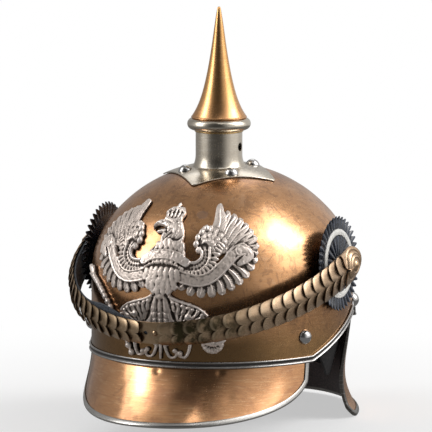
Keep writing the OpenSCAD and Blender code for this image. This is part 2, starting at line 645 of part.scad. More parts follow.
// Plain end plate at the front, with a hole, and the stud that it hooks on
clasp_x = 4;
clasp_t = 0.8;
module clasp_plate() {
  w = scale_w_front;
  color("goldenrod") placed() on_strap(0, 1, 0.3) difference() {
    intersection() {
      translate([-front_turn_r, 0, 0]) difference() {
        cylinder(r = front_turn_r + clasp_t, h = w, center = true, $fn = 256);
        cylinder(r = front_turn_r, h = w + 2, center = true, $fn = 256);
      }
      cube([20, 2 * clasp_half, 40], center = true);
    }
    for (s = [-1, 1]) translate([0, s * clasp_x, 0]) rotate([0, 90, 0])
      cylinder(r = 1.7, h = 20, center = true, $fn = 32);
  }
}
module clasp_stud() {
  color("goldenrod") placed() on_strap(0, 1, 0.3) translate([0, clasp_x, 0]) rotate([0, 90, 0]) {
    translate([0, 0, -0.2]) cylinder(r = 1.3, h = clasp_t + 0.6, $fn = 32);
    translate([0, 0, clasp_t + 0.2]) dome(2.3, 1.4);
  }
}

// Cockades: toothed and pleated rim, smooth ring and pleated centre on one leaning disc
cockade_x = skull_a + run_gap - (belt_drop - hinge_drop) * tan(cockade_lean_angle);
disc_t = 0.8;
module on_side(side) {
  mirror([side < 0 ? 1 : 0, 0, 0]) translate([cockade_x, hinge_back, -hinge_drop])
    rotate([0, 90 - cockade_lean_angle, 0]) children();
}
// Pleated ring: its outer edge and its face rise and fall with every tooth
module pleats(r_in, r_out, low, high, count, bite) {
  az = [for (i = [0:2 * count - 1]) i * 180 / count];
  function ring(r, cut, z, fall) = [for (i = [0:2 * count - 1])
    [(r - cut * (i % 2)) * cos(az[i]), (r - cut * (i % 2)) * sin(az[i]), z - fall * (i % 2)]];
  sheet([ring(r_out, bite, high, high - low - 0.8), ring(r_in, 0, high, high - low - 1)],
    [ring(r_out, bite, low, 0), ring(r_in, 0, low, 0)], wrap = true);
}
module cockade_rim(side) {
  color("midnightblue") placed() on_side(side) union() {
    pleats(band_r - 1, cockade_r, 0, 2.2, teeth, 2.2);
    difference() {
      cylinder(r = band_r - 0.6, h = disc_t, $fn = 96);
      cylinder(r = pin_r + 1, h = 4, center = true, $fn = 32);
    }
  }
}
module cockade_ring(side) {
  color("white") placed() on_side(side) translate([0, 0, disc_t + seat_gap]) rotate_extrude($fn = 96)
    polygon([[centre_r + 0.3, 0], [band_r - 1.2, 0], [band_r - 1.2, 1.2], [band_r - 1.8, 1.7],
      [centre_r + 0.9, 1.7], [centre_r + 0.3, 1.2]]);
}
module cockade_centre(side) {
  color("midnightblue") placed() on_side(side) translate([0, 0, disc_t + seat_gap]) difference() {
    pleats(pin_r + 3, centre_r, 0, 1.5, 18, 0.01);
    cylinder(r = pin_r + 1, h = 4, center = true, $fn = 32);
  }
}
module cockade_rim_left() { cockade_rim(1); }
module cockade_rim_right() { cockade_rim(-1); }
module cockade_ring_left() { cockade_ring(1); }
module cockade_ring_right() { cockade_ring(-1); }
module cockade_centre_left() { cockade_centre(1); }
module cockade_centre_right() { cockade_centre(-1); }

// Stack on the pivot, outwards from the bowl: nut, pin, spacer, button
spacer_r = 4.6;
spacer_x = cockade_x + disc_t + 2 * seat_gap + 2.2;
button_x = strap_a + boss_h + boss_top + seat_gap;
nut_x = skull_a - 4.6;
module on_pivot(side, x) {
  mirror([side < 0 ? 1 : 0, 0, 0]) translate([x, hinge_back, -hinge_drop]) rotate([0, 90, 0]) children();
}
module boss_spacer(side) {
  color("goldenrod") placed() on_pivot(side, spacer_x) difference() {
    cylinder(r = spacer_r, h = strap_a - leather_t - run_gap - spacer_x, $fn = 48);
    cylinder(r = pin_r + pin_gap, h = 30, center = true, $fn = 48);
  }
}
module boss_screw(side) {
  color("goldenrod") placed() difference() {
    on_pivot(side, nut_x - 2.6) {
      cylinder(r = pin_r, h = button_x - nut_x + 2.7, $fn = 64);
      translate([0, 0, button_x - nut_x + 2.6]) dome(3.6, 1.5);
    }
    on_pivot(side, button_x + 0.9) cube([0.8, 9, 2], center = true);
  }
}
module boss_nut(side) {
  color("silver") placed() on_pivot(side, nut_x - 1.6) difference() {
    cylinder(r = 5, h = 2.4, $fn = 6);
    cylinder(r = pin_r + pin_gap, h = 10, center = true, $fn = 48);
  }
}
module boss_spacer_left() { boss_spacer(1); }
module boss_spacer_right() { boss_spacer(-1); }
module boss_screw_left() { boss_screw(1); }
module boss_screw_right() { boss_screw(-1); }
module boss_nut_left() { boss_nut(1); }
module boss_nut_right() { boss_nut(-1); }

// Front plate, drawn for a bowl 146 high: u is measured round the bowl and v is height
plate_u_r = 100;
plate_unit = skull_h / 146;
plate_off = sheet_gap;
post_at = [for (p = [[21.8, -66], [-21.8, -66], [0, -112]]) [p[0], p[1] * plate_unit]];
relief_root = 1.5;
function on_front(u, v, h) = on_skull(u / plate_u_r * 180 / PI, v * plate_unit, plate_off + h);
function bend(a, b, c, t) = sq(1 - t) * a + 2 * t * (1 - t) * b + sq(t) * c;
function turned(v) = unit([v[1], -v[0]]);
function flip(s, p) = [s * p[0], p[1]];

// Ribbed leaf along a bent line: half-widths and ridge heights follow two short lists
module leaf(a, b, c, widths, heights) {
  n = len(widths) - 1;
  bar([for (i = [0:n]) let(t = i / n, p = bend(a, b, c, t),
      d = bend(a, b, c, min(1, t + 0.02)) - bend(a, b, c, max(0, t - 0.02)), q = turned(d) * widths[i])
    [on_front(p[0] + q[0], p[1] + q[1], -relief_root), on_front(p[0] + q[0], p[1] + q[1], relief_edge),
     on_front(p[0], p[1], heights[i]),
     on_front(p[0] - q[0], p[1] - q[1], relief_edge), on_front(p[0] - q[0], p[1] - q[1], -relief_root)]]);
}
// Feather with a rounded end, from its root to its tip
module feather(a, b, c, w, h) {
  leaf(a, b, c, [0.5 * w, 0.85 * w, w, 0.5 * w], [h, h, 0.85 * h, relief_edge + 0.2]);
}
// Flat band along a bent line, such as the ribbon; it runs clockwise in section like every bar
module band(a, b, c, w, h, n = 5) {
  bar([for (i = [0:n]) let(t = i / n, p = bend(a, b, c, t),
      d = bend(a, b, c, min(1, t + 0.02)) - bend(a, b, c, max(0, t - 0.02)), q = turned(d) * w / 2)
    [on_front(p[0] + q[0], p[1] + q[1], -relief_root), on_front(p[0] + q[0], p[1] + q[1], h),
     on_front(p[0] - q[0], p[1] - q[1], h), on_front(p[0] - q[0], p[1] - q[1], -relief_root)]]);
}
// Round boss on the relief
module pearl(u, v, r, h) {
  on_wall(u / plate_u_r * 180 / PI, v * plate_unit, plate_off) hull() {
    translate([0, 0, -relief_root]) cylinder(r = r, h = relief_root + 0.5 * h, $fn = 6);
    cylinder(r = 0.5 * r, h = h, $fn = 6);
  }
}
// Bed to which the underside of the relief is trimmed, a little off the bowl
module plate_bed() {
  function grid(h) = [for (i = [0:16]) [for (a = [-60:5:60]) on_skull(a, (8 * i - 146) * plate_unit, h)]];
  sheet(grid(plate_off + 0.15), grid(-7));
}

module wing(s) {
  // Long feathers: tip, bend, root and half-width
  for (f = [[[43.5, -22.5], [46, -33], [38, -46], 5.6], [[61.5, -30], [60, -41], [45, -50], 5.4],
    [[71, -37.5], [66, -46], [50, -54], 4.8], [[78, -44], [71, -50], [52, -57], 4.2],
    [[79, -52], [72, -55], [54, -60], 3.4]])
    feather(flip(s, f[2]), flip(s, f[1]), flip(s, f[0]), f[3], relief_h * 0.6);
  // Short feathers below the ribbon: tip and root
  for (f = [[[76, -60], [57, -59]], [[73, -68], [55, -62]], [[68, -76], [51, -66]], [[61, -83], [47, -70]],
    [[53, -89], [42, -73]], [[43, -92], [35, -75]], [[32, -92], [28, -76]], [[20, -89.5], [19, -74]]])
    feather(flip(s, f[1]), flip(s, (f[0] + f[1]) / 2), flip(s, f[0]), 4.2, relief_h * 0.5);
  // Coverts, two rails and the ribbon
  leaf(flip(s, [26, -46]), flip(s, [38, -38]), flip(s, [48, -51]), [3, 7.5, 8, 4],
    [relief_h * 0.8, relief_h, relief_h, relief_h * 0.8]);
  leaf(flip(s, [31, -55]), flip(s, [42, -58]), flip(s, [30, -70]), [4, 6.5, 6.5, 4],
    [relief_h * 0.75, relief_h * 0.75, relief_h * 0.75, relief_h * 0.75]);
  band(flip(s, [16, -65]), flip(s, [36, -68]), flip(s, [28.5, -53]), 1.8, relief_h * 0.9, n = 6);
  band(flip(s, [15, -71.5]), flip(s, [43, -76]), flip(s, [37.3, -53]), 1.8, relief_h * 0.9, n = 6);
  band(flip(s, [14, -75.5]), flip(s, [43, -84]), flip(s, [58, -57.5]), 8.9, relief_h * 0.85, n = 7);
  band(flip(s, [54, -61.5]), flip(s, [67, -50]), flip(s, [70, -62]), 7.5, relief_h * 1.05, n = 4);
  for (b = [[26, -46.5], [27, -52], [28, -55.6]]) pearl(s * b[0], b[1], 2.7, relief_h * 0.9);
}

module relief() {
  union() {
    for (s = [-1, 1]) wing(s);
    // Neck and breast, plain ribbon across it, belly
    leaf([4, -38], [8, -50], [2, -66], [7, 9, 14, 17], [relief_h, relief_h, relief_h * 1.1, relief_h]);
    leaf([2, -60], [1, -70], [0.3, -88.3], [16, 15.5, 12, 8], [relief_h, relief_h * 0.8, relief_h * 0.8, relief_h * 0.7]);
    band([-15, -65], [1.5, -55], [18, -65], 7.5, relief_h * 1.2, n = 6);
    // Head and beak, turned to the bird's right
    leaf([8, -43], [-1, -38], [-8, -40], [5, 6, 3.6], [relief_h, relief_h * 1.15, relief_h]);
    leaf([-6, -39.5], [-13, -37], [-16.5, -41.5], [3.2, 2.4, 0.6], [relief_h, relief_h * 0.8, relief_edge + 0.3]);
    // Crown of five arches on a hoop
    band([-8.5, -35.5], [0.5, -37], [9, -34.5], 2.4, relief_h, n = 4);
    for (x = [-12.5, -6.5, 0.5, 7.5, 13])
      leaf([0.5 + (x - 0.5) * 0.6, -34.5], [x, -33], [x * 0.85, -28], [1.6, 2.6, 1.8], [relief_h * 0.6, relief_h * 0.85, relief_h * 0.6]);
    pearl(0.4, -27.3, 2.2, relief_h * 0.8);
    pearl(0, -84, 3.6, relief_h + 0.4);
    pearl(0, -91, 4.2, relief_h);
    // Tail, with scrolls at its end
    leaf([0.1, -86.1], [0, -104], [0.1, -118.7], [4, 6, 9, 10], [relief_h * 0.8, relief_h * 0.7, relief_h * 0.6, relief_h * 0.6]);
    leaf([0, -112], [0, -126], [0, -141], [8, 6, 2.5, 0.8], [relief_h * 0.6, relief_h * 0.6, relief_h * 0.6, relief_edge + 0.3]);
    for (s = [-1, 1]) {
      band([s * 3, -114], [s * 4, -139], [s * 12, -138], 3, relief_h * 0.6, n = 4);
      band([s * 5, -112], [s * 24, -117], [s * 21, -136], 3.2, relief_h * 0.6, n = 4);
      band([s * 21.5, -134], [s * 21, -141], [s * 15.5, -138], 3, relief_h * 0.6, n = 3);
      pearl(s * 15.5, -136.5, 2, relief_h * 0.7);
    }
    // Legs and claws
    for (s = [-1, 1]) {
      leaf([s * 6, -89], [s * 24, -88], [s * 35, -104], [4, 5.5, 5, 2.5], [relief_h * 0.7, relief_h * 0.9, relief_h * 0.8, relief_h * 0.5]);
      leaf([s * 30, -99], [s * 22, -108], [s * 20, -116], [5, 4.5, 3], [relief_h * 0.7, relief_h * 0.7, relief_h * 0.5]);
      leaf([s * 20, -113], [s * 33, -113], [s * 38, -121], [2.4, 2, 1.4], [relief_h * 0.7, relief_h * 0.7, relief_h * 0.5]);
    }
    // Sceptre and orb
    band([-28, -137], [-45, -108], [-78, -86], 4.4, relief_h * 0.6, n = 7);
    pearl(-79, -85.5, 4, relief_h * 0.8);
    pearl(40, -127, 8.6, relief_h);
    band([32, -124], [40, -128], [48.5, -122], 2, relief_h * 1.05, n = 3);
    pearl(39, -116.5, 2.6, relief_h * 0.8);
  }
}
module front_plate() {
  color("silver") placed() difference() {
    relief();
    plate_bed();
  }
}

module front_plate_posts() {
  long = plate_off + skull_t + 2.6;
  for (p = post_at) color("silver") placed() on_wall(p[0], p[1], plate_off - 0.3 - long)
    cylinder(r = post_r, h = long, $fn = 32);
}
module front_plate_nuts() {
  wide = 3.6 * post_r;
  for (p = post_at) color("silver") placed() on_wall(p[0], p[1], -skull_t - 2.6) difference() {
    translate([0, 0, 0.9]) cube([wide, wide, 1.8], center = true);
    cylinder(r = post_r + pin_gap, h = 8, center = true, $fn = 32);
  }
}

skull();
skull_trim();
visor();
visor_rim();
visor_lining();
neck_guard();
neck_guard_rim();
neck_guard_lining();
neck_seam_band();
shell_rivets();
shell_rivet_washers();
front_plate();
front_plate_posts();
front_plate_nuts();
spike_neck();
neck_rivets();
neck_nuts();
spike_bush();
liner_band();
liner_tongues();
cockade_rim_left();
cockade_rim_right();
cockade_ring_left();
cockade_ring_right();
cockade_centre_left();
cockade_centre_right();
boss_spacer_left();
boss_spacer_right();
boss_screw_left();
boss_screw_right();
boss_nut_left();
boss_nut_right();
end_boss_left();
end_boss_right();
scales_left();
scales_right();
strap_left();
strap_right();
clasp_plate();
clasp_stud();
spike_ring();
spike();
spike_stud();
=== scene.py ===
"""Looks of a cuirassier's helmet: tombak bowl, visor and neck guard, silvered eagle, scaled chin
strap, cockades and a brass spike. Lengths are in millimetres below the crown until place()."""
import math
import bpy
import bmesh
import numpy as np
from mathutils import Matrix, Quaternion, Vector


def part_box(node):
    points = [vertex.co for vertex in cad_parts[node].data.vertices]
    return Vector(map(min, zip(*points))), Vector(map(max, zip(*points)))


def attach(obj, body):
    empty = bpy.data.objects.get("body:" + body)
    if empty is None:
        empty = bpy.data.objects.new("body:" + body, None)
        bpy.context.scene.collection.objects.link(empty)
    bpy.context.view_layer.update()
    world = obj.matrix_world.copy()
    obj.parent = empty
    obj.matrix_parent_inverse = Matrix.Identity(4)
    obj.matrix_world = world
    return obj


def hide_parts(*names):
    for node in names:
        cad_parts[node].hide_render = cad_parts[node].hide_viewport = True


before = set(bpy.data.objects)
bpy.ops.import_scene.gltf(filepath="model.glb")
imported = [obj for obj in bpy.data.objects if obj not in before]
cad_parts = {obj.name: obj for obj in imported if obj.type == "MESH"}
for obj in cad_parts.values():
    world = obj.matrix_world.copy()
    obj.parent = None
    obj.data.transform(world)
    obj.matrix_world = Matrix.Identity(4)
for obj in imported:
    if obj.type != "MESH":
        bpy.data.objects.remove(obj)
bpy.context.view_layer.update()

# ---------------------------------------- places taken from the frame
RING_Z = 28.2  # underside of the spike's ring
ring_low, ring_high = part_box("spike_ring")
AXIS_Y = (ring_low[1] + ring_high[1]) / 2
LIFT = ring_low[2] - RING_Z / 1000


def place(points):
    """Millimetres below the crown to metres in the frame."""
    return np.asarray(points, float) * 0.001 + np.array([0, AXIS_Y, LIFT])


def xyz(*parts):
    """Points from their coordinates, arrays or single numbers."""
    return np.stack(np.broadcast_arrays(*parts), -1)


def unit(v):
    return v / np.maximum(np.linalg.norm(v, axis=-1, keepdims=True), 1e-12)


def smooth(x):
    c = np.clip(x, 0, 1)
    return c * c * (3 - 2 * c)


def sind(a):
    return np.sin(np.radians(a))


def cosd(a):
    return np.cos(np.radians(a))


def bell(x, width):
    return np.exp(-(x / width) ** 2)


def circle(count):
    return np.linspace(0, 2 * np.pi, count, endpoint=False)


def sines(x, y, seed, size):
    """Slow even unevenness, about -1 to 1, for hand-raised sheet."""
    turns = [seed * 1.7 + k * 2.39 for k in range(6)]
    return sum(np.sin((x * math.cos(a) + y * math.sin(a)) / size * (1 + 0.37 * k) + a * 3.1)
               for k, a in enumerate(turns)) / 6


# ---------------------------------------- bowl, visor and neck guard
SKULL_A, SKULL_BACK, CROWN_R, BELT = 103.0, 6.5, 112.0, 87.3
OVAL = 227.0 / 206.0
SIDE_R, SKULL_H, SEAM, REAR_DROP = 73.6061, 146.0, 116.0, 16
SIDE_IN, JOIN_Z = SKULL_A - SIDE_R, -39.9469
EAR_FRONT, EAR_REAR = 69.4, 108.0
WALL_IN, PLATE_T = 1.7, 0.8
SHEET_R = SKULL_A - WALL_IN  # where the visor and the neck guard meet the bowl
VISOR_END, VISOR_DROP, NECK_LOW = 68, 44, -207
HINGE = np.array([0, 2.0, -74.0])


def skull_r(z):
    """Half the bowl's width at a height: crown arc, side arc, then straight down."""
    top = np.sqrt(np.maximum(0, CROWN_R ** 2 - (z + CROWN_R) ** 2))
    side = SIDE_IN + np.sqrt(np.maximum(0, SIDE_R ** 2 - (z + BELT) ** 2))
    return np.where(z > JOIN_Z, top, np.where(z > -BELT, side, SKULL_A))


def skull_n(az, z):
    r = skull_r(z)
    rise = np.where(z > JOIN_Z, (z + CROWN_R) / np.maximum(1, r),
                    np.where(z > -BELT, (z + BELT) / np.maximum(1, r - SIDE_IN), 0))
    return unit(xyz(sind(az), -cosd(az) / OVAL, rise))


def on_skull(az, z, h=0.0):
    """Points h outside the bowl, by azimuth from the front and by height."""
    r = skull_r(z)
    return (xyz(r * sind(az), SKULL_BACK - OVAL * r * cosd(az), z)
            + np.asarray(h)[..., None] * skull_n(az, z))


def from_front(az):
    az = np.abs(az)
    return np.where(az > 180, 360 - az, az)


def plan_y(az):
    return SKULL_BACK - OVAL * SKULL_A * cosd(az)


def behind_ear(az):
    return (from_front(az) - EAR_REAR) / (180 - EAR_REAR)


def edge_z(az):
    """Lower edge of the bowl: level in front, rising at the ear, falling again behind."""
    ff = from_front(az)
    part = (plan_y(ff) - plan_y(EAR_FRONT)) / (plan_y(EAR_REAR) - plan_y(EAR_FRONT))
    return np.where(ff > EAR_REAR, -SEAM - REAR_DROP * sind(90 * behind_ear(az)),
                    -SKULL_H + (SKULL_H - SEAM) * np.clip(part, 0, 1))


def visor_end(az):
    return np.maximum(0, 1 - (np.abs(az) / EAR_FRONT) ** 3) ** (1 / 3)


def neck_end(az):
    return 1 - 0.09 * np.clip(1 - (from_front(az) - EAR_REAR) / 7, 0, 1) ** 2


def visor_at(az, u):
    """Middle of the visor's sheet: u is 0 at the bowl and 1 at the free edge, below 0 on the flange."""
    q = np.maximum(0, u)
    flange = 12 + 14 * smooth((np.abs(az) - 55) / 6)
    return xyz((SHEET_R + 1.8 * q) * sind(az), SKULL_BACK - (OVAL * SHEET_R + 35.4 * q ** 1.3) * cosd(az),
               -SKULL_H - u * np.where(u < 0, flange, VISOR_DROP))


def neck_at(az, t):
    """Middle of the neck guard's sheet; t runs as u does on the visor."""
    q = np.maximum(0, t) ** 1.6
    bottom, edge = NECK_LOW + 3 * smooth(behind_ear(az)), edge_z(az)
    return xyz((SHEET_R - 10.7 * sind(165 * q)) * sind(az),
               SKULL_BACK - (OVAL * SHEET_R + 38.8 * q) * cosd(az),
               edge + t * np.where(t < 0, -12, bottom - edge))


def sheet_normal(at, az, u):
    return unit(np.cross(at(az + 0.4, u) - at(az - 0.4, u), at(az, u - 0.01) - at(az, u + 0.01)))


def off_sheet(at, az, u, h):
    """Points of a curved sheet, moved h along its outward normal."""
    return at(az, u) + np.asarray(h)[..., None] * sheet_normal(at, az, u)


# ---------------------------------------- meshes
def added(name, data):
    item = bpy.data.objects.new(name, data)
    bpy.context.scene.collection.objects.link(item)
    return item


def piece(name, form, finish, node, crease=38, body="shell", marks=None):
    """A smooth-shaded mesh that rides on a body and stands for the CAD node named."""
    mesh = bpy.data.meshes.new(name)
    mesh.from_pydata(place(form[0]).tolist(), [], form[1])
    work = bmesh.new()
    work.from_mesh(mesh)
    bmesh.ops.recalc_face_normals(work, faces=work.faces)
    work.to_mesh(mesh)
    work.free()
    for label, values in (marks or {}).items():
        mark = mesh.attributes.new(label, "FLOAT", "POINT")
        mark.data.foreach_set("value", np.asarray(values, np.float32))
    mesh.polygons.foreach_set("use_smooth", [True] * len(mesh.polygons))
    mesh.set_sharp_from_angle(angle=math.radians(crease))
    mesh.materials.append(finish)
    item = added(name, mesh)
    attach(item, body)
    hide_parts(node)
    return item


def grid_faces(m, n, wrap=False, wrap_rows=False, start=0):
    rows = m if wrap_rows else m - 1
    cols = n if wrap else n - 1
    i, j = np.meshgrid(np.arange(rows), np.arange(cols), indexing="ij")
    a, b = i * n + j, i * n + (j + 1) % n
    c, d = ((i + 1) % m) * n + (j + 1) % n, ((i + 1) % m) * n + j
    return (np.stack([a, b, c, d], -1).reshape(-1, 4) + start).tolist()


def shell(front, back, wrap=False):
    """Closed sheet between two grids of points; a wrapped one closes on itself across."""
    m, n = front.shape[:2]
    k = m * n
    faces = grid_faces(m, n, wrap) + [f[::-1] for f in grid_faces(m, n, wrap, start=k)]
    number = np.arange(k).reshape(m, n)
    if wrap:
        borders = [np.append(number[i], number[i, 0]) for i in (0, -1)]
    else:
        borders = [number[0], number[-1], number[:, 0], number[:, -1]]
    for line in borders:
        faces += [[a, b, k + b, k + a] for a, b in zip(line.tolist(), line[1:].tolist())]
    return np.concatenate([front.reshape(-1, 3), back.reshape(-1, 3)]), faces


def tube(rings):
    """Closed bar through rings of points, rings along the first axis."""
    m, n = rings.shape[:2]
    ends = [list(range(n)), list(range((m - 1) * n, m * n))]
    return rings.reshape(-1, 3), grid_faces(m, n, True) + ends


def turned(profile, origin=(0, 0, 0), axis=(0, 0, 1), count=96):
    """Body turned on a lathe from pairs of radius and height; it stands on origin along axis."""
    axis = Vector(axis).normalized()
    side = axis.orthogonal().normalized()
    other = axis.cross(side)
    a = circle(count)[None, :, None]
    profile = np.asarray(profile, float)
    across = profile[:, :1, None] * (np.cos(a) * np.array(side) + np.sin(a) * np.array(other))
    return tube(np.array(origin) + across + profile[:, 1:, None] * np.array(axis))


def spun(profile, count):
    """Rings about the z axis from pairs of radius and height."""
    r, z = np.array(profile, float).T[..., None]
    return xyz(r * np.cos(circle(count)), r * np.sin(circle(count)), z)


def joined(*parts):
    """One form from several."""
    points, faces, start = [], [], 0
    for p, f in parts:
        points.append(p)
        faces += [[k + start for k in face] for face in f]
        start += len(p)
    return np.concatenate(points), faces


def rounded(points, steps=4, radius=0.3):
    """Open line of (a, b) pairs with its inner corners rounded."""
    out = [points[0]]
    for p, q, r in zip(points, points[1:], points[2:]):
        p, q, r = (np.asarray(v, float) for v in (p, q, r))
        a, b = p - q, r - q
        cut = min(radius, np.linalg.norm(a) / 2.01, np.linalg.norm(b) / 2.01)
        a, b = q + a / np.linalg.norm(a) * cut, q + b / np.linalg.norm(b) * cut
        out += [tuple((1 - t) ** 2 * a + 2 * t * (1 - t) * q + t * t * b) for t in np.linspace(0, 1, steps)]
    return out + [points[-1]]


# ---------------------------------------- finishes
class Wire:
    """A value inside a material; arithmetic on it adds Math nodes."""

    def __init__(self, tree, socket):
        self.tree, self.socket = tree, socket

    def calc(self, operation, *terms):
        return self.tree.node("ShaderNodeMath", {"operation": operation}, dict(enumerate(terms)))

    def __add__(self, other):
        return self.calc("ADD", self, other)

    def __sub__(self, other):
        return self.calc("SUBTRACT", self, other)

    def __rsub__(self, other):
        return self.calc("SUBTRACT", other, self)

    def __mul__(self, other):
        return self.calc("MULTIPLY", self, other)

    __radd__, __rmul__ = __add__, __mul__

    def root(self):
        return self.calc("SQRT", self)

    def between(self, low, high, first=0.0, last=1.0):
        return self.tree.node("ShaderNodeMapRange", {"interpolation_type": "SMOOTHSTEP"},
                              {0: self, 1: low, 2: high, 3: first, 4: last})


class Tree:
    """The nodes of a material or of the world."""

    def __init__(self, owner):
        owner.use_nodes = True
        self.owner, self.tree = owner, owner.node_tree

    def node(self, kind, settings, values, output=0):
        made = self.tree.nodes.new(kind)
        for key, value in settings.items():
            setattr(made, key, value)
        for key, value in values.items():
            self.feed(made.inputs[key], value)
        return Wire(self, made.outputs[output])

    def feed(self, socket, value):
        if isinstance(value, Wire):
            self.tree.links.new(value.socket, socket)
        elif isinstance(value, tuple) and len(value) == 3 and socket.type == "RGBA":
            socket.default_value = (*value, 1)
        else:
            socket.default_value = value

    def blend(self, part, first, last):
        """Between two plain values."""
        return self.node("ShaderNodeMix", {"data_type": "FLOAT"}, {0: part, 2: first, 3: last})


class Finish(Tree):
    """A procedural material; its coordinates are the piece's own, in metres."""
    SOCKETS = {"tone": "Base Color", "metal": "Metallic", "rough": "Roughness", "normal": "Normal",
               "coat": "Coat Weight", "coat_rough": "Coat Roughness", "specular": "Specular IOR Level"}

    def __init__(self, name, tone):
        super().__init__(bpy.data.materials.new(name))
        self.shader = self.tree.nodes["Principled BSDF"]
        self.here = self.node("ShaderNodeTexCoord", {}, {}, "Object")
        self.tone, self.rough, self.normal = tone, 0.5, None

    def tint(self, part, colour):
        """Lays a colour over the tone, as thick as part says."""
        made = self.tree.nodes.new("ShaderNodeMix")
        made.data_type = "RGBA"
        for key, value in ((0, part), (6, self.tone), (7, colour)):
            self.feed(made.inputs[key], value)
        self.tone = Wire(self, made.outputs[2])

    def stretch(self, x, y, z, turn=(0.0, 0.0, 0.0)):
        return self.node("ShaderNodeMapping", {}, {"Vector": self.here, "Scale": (x, y, z), "Rotation": turn})

    def cloud(self, scale, detail=3.0, rough=0.55, where=None, warp=0.0):
        return self.node("ShaderNodeTexNoise", {}, {"Vector": where or self.here, "Scale": scale,
                         "Detail": detail, "Roughness": rough, "Distortion": warp})

    def cells(self, feature, **values):
        return self.node("ShaderNodeTexVoronoi", {"feature": feature}, {"Vector": self.here, **values},
                         "Distance")

    def axis(self, name):
        return self.node("ShaderNodeSeparateXYZ", {}, {0: self.here}, name)

    def mark(self, name):
        return self.node("ShaderNodeAttribute", {"attribute_name": name}, {}, "Fac")

    def bump(self, height, distance, strength=1.0):
        return self.node("ShaderNodeBump", {}, {"Height": height, "Distance": distance, "Strength": strength})

    def done(self, metal=1.0, **values):
        values = {"tone": self.tone, "rough": self.rough, "normal": self.normal, "metal": metal, **values}
        for key, value in values.items():
            if value is not None:
                self.feed(self.shader.inputs[self.SOCKETS[key]], value)
        return self.owner


def worn_metal(name, base, deep, bright, rough, streak=0.3, mottle=0.6, scale=1.0, pits=0.00002):
    """Old polished sheet: cloudy patina, fine rubbing marks, small pits and scratches."""
    f = Finish(name, base)
    slow = f.cloud(11 * scale, 5, 0.62, warp=0.6)
    blots = f.cloud(34 * scale, 6, 0.7, warp=1.1)
    rubbed = f.cloud(1.0, 4, 0.6, f.stretch(90, 90, 900))
    crossed = f.cloud(1.0, 3, 0.6, f.stretch(1100, 160, 140, (0.4, 0.7, 0.2)))
    specks = f.cloud(700, 2, 0.5)
    patina = (slow.between(0.42, 0.68) * 0.65 + blots.between(0.5, 0.74) * 0.5) * mottle
    f.tint(patina, deep)
    f.tint(rubbed.between(0.48, 0.75) * streak, bright)
    f.tint(specks.between(0.66, 0.74) * 0.5 * mottle, deep)
    f.rough = rough + patina * 0.16 + rubbed * 0.08 + crossed.between(0.55, 0.75) * 0.07 - 0.05
    relief = rubbed * 0.3 + crossed * 0.35 + specks.between(0.62, 0.75) * -0.6
    f.normal = f.bump(relief, pits, 0.9)
    return f


def metal(*args, **kw):
    return worn_metal(*args, **kw).done()


TOMBAK, TOMBAK_DEEP, TOMBAK_BRIGHT = (0.715, 0.375, 0.175), (0.27, 0.135, 0.06), (0.90, 0.58, 0.34)


def bowl_finish():
    """Bowl: rosy copper brass, browner round the crown, darker and yellower low down, a painted shadow just
    under the chin strap at the front, and one round stain.
    """
    f = worn_metal("tombak bowl", TOMBAK, TOMBAK_DEEP, TOMBAK_BRIGHT, 0.22, mottle=0.62)
    x, height, across = f.axis("X"), (f.axis("Z") - LIFT) * 1000, (f.axis("Y") - AXIS_Y) * 1000
    out = (x * x * 1e6 + across * across).root()
    ragged = f.cloud(42, 4, 0.6) * 22
    crown = (out + ragged * 1.4).between(50, 92, 1, 0)
    smears = f.cloud(26, 6, 0.72, f.stretch(1.0, 0.6, 1.6, (0.3, 0.2, 0.9)), warp=1.5)
    f.tint(crown * smears.between(0.42, 0.60) * 0.8, (0.36, 0.185, 0.105))
    f.tint(smears.between(0.55, 0.68) * 0.5, (0.37, 0.19, 0.11))
    f.tint(smears.between(0.44, 0.30, 0, 1) * 0.3, (0.86, 0.56, 0.37))
    rings = f.cloud(75, 5, 0.68, f.stretch(1.0, 1.0, 0.7), warp=2.2)
    f.tint(rings.between(0.53, 0.60) * rings.between(0.70, 0.60) * 0.55, (0.34, 0.18, 0.10))
    low = (height + ragged).between(-128, -100, 1, 0)
    f.tint(low * 0.6, (0.50, 0.30, 0.12))
    # Painted shadow of the chin strap on the bowl just under it, towards the front
    strap_shadow = (height + ragged * 0.4).between(-126, -114, 1, 0)
    f.tint(strap_shadow * x.between(0.09, 0.06) * across.between(-30, -60) * 0.7, (0.17, 0.095, 0.04))
    spot = [float(c) for c in on_skull(15.5, -30.0)]
    dx, dy, dz = x * 1000 - spot[0], across - spot[1], height - spot[2]
    far = (dx * dx + dy * dy + dz * dz).root()
    stain = (far + f.cloud(160, 3, 0.6) * 3).between(5.2, 7.4, 1, 0)
    f.tint(stain * 0.6, (0.23, 0.16, 0.13))
    return f.done(rough=f.rough + smears * 0.16 - 0.07 + stain * 0.2, coat=0.15, coat_rough=0.14)


def visor_finish():
    """Visor: yellower and better polished, with darker clouds and level rubbing marks."""
    f = worn_metal("tombak visor", (0.74, 0.385, 0.185), (0.24, 0.11, 0.05), (0.94, 0.66, 0.40), 0.17,
                   mottle=0.55, streak=0.35)
    level = f.cloud(1.0, 4, 0.65, f.stretch(30, 30, 1200))
    f.tint(level.between(0.5, 0.72) * 0.4, (0.30, 0.14, 0.075))
    f.tint(f.cloud(30, 5, 0.65, warp=0.8).between(0.5, 0.64) * 0.5, (0.38, 0.18, 0.10))
    return f.done(rough=f.rough + level.between(0.5, 0.7) * 0.06, coat=0.2, coat_rough=0.12)


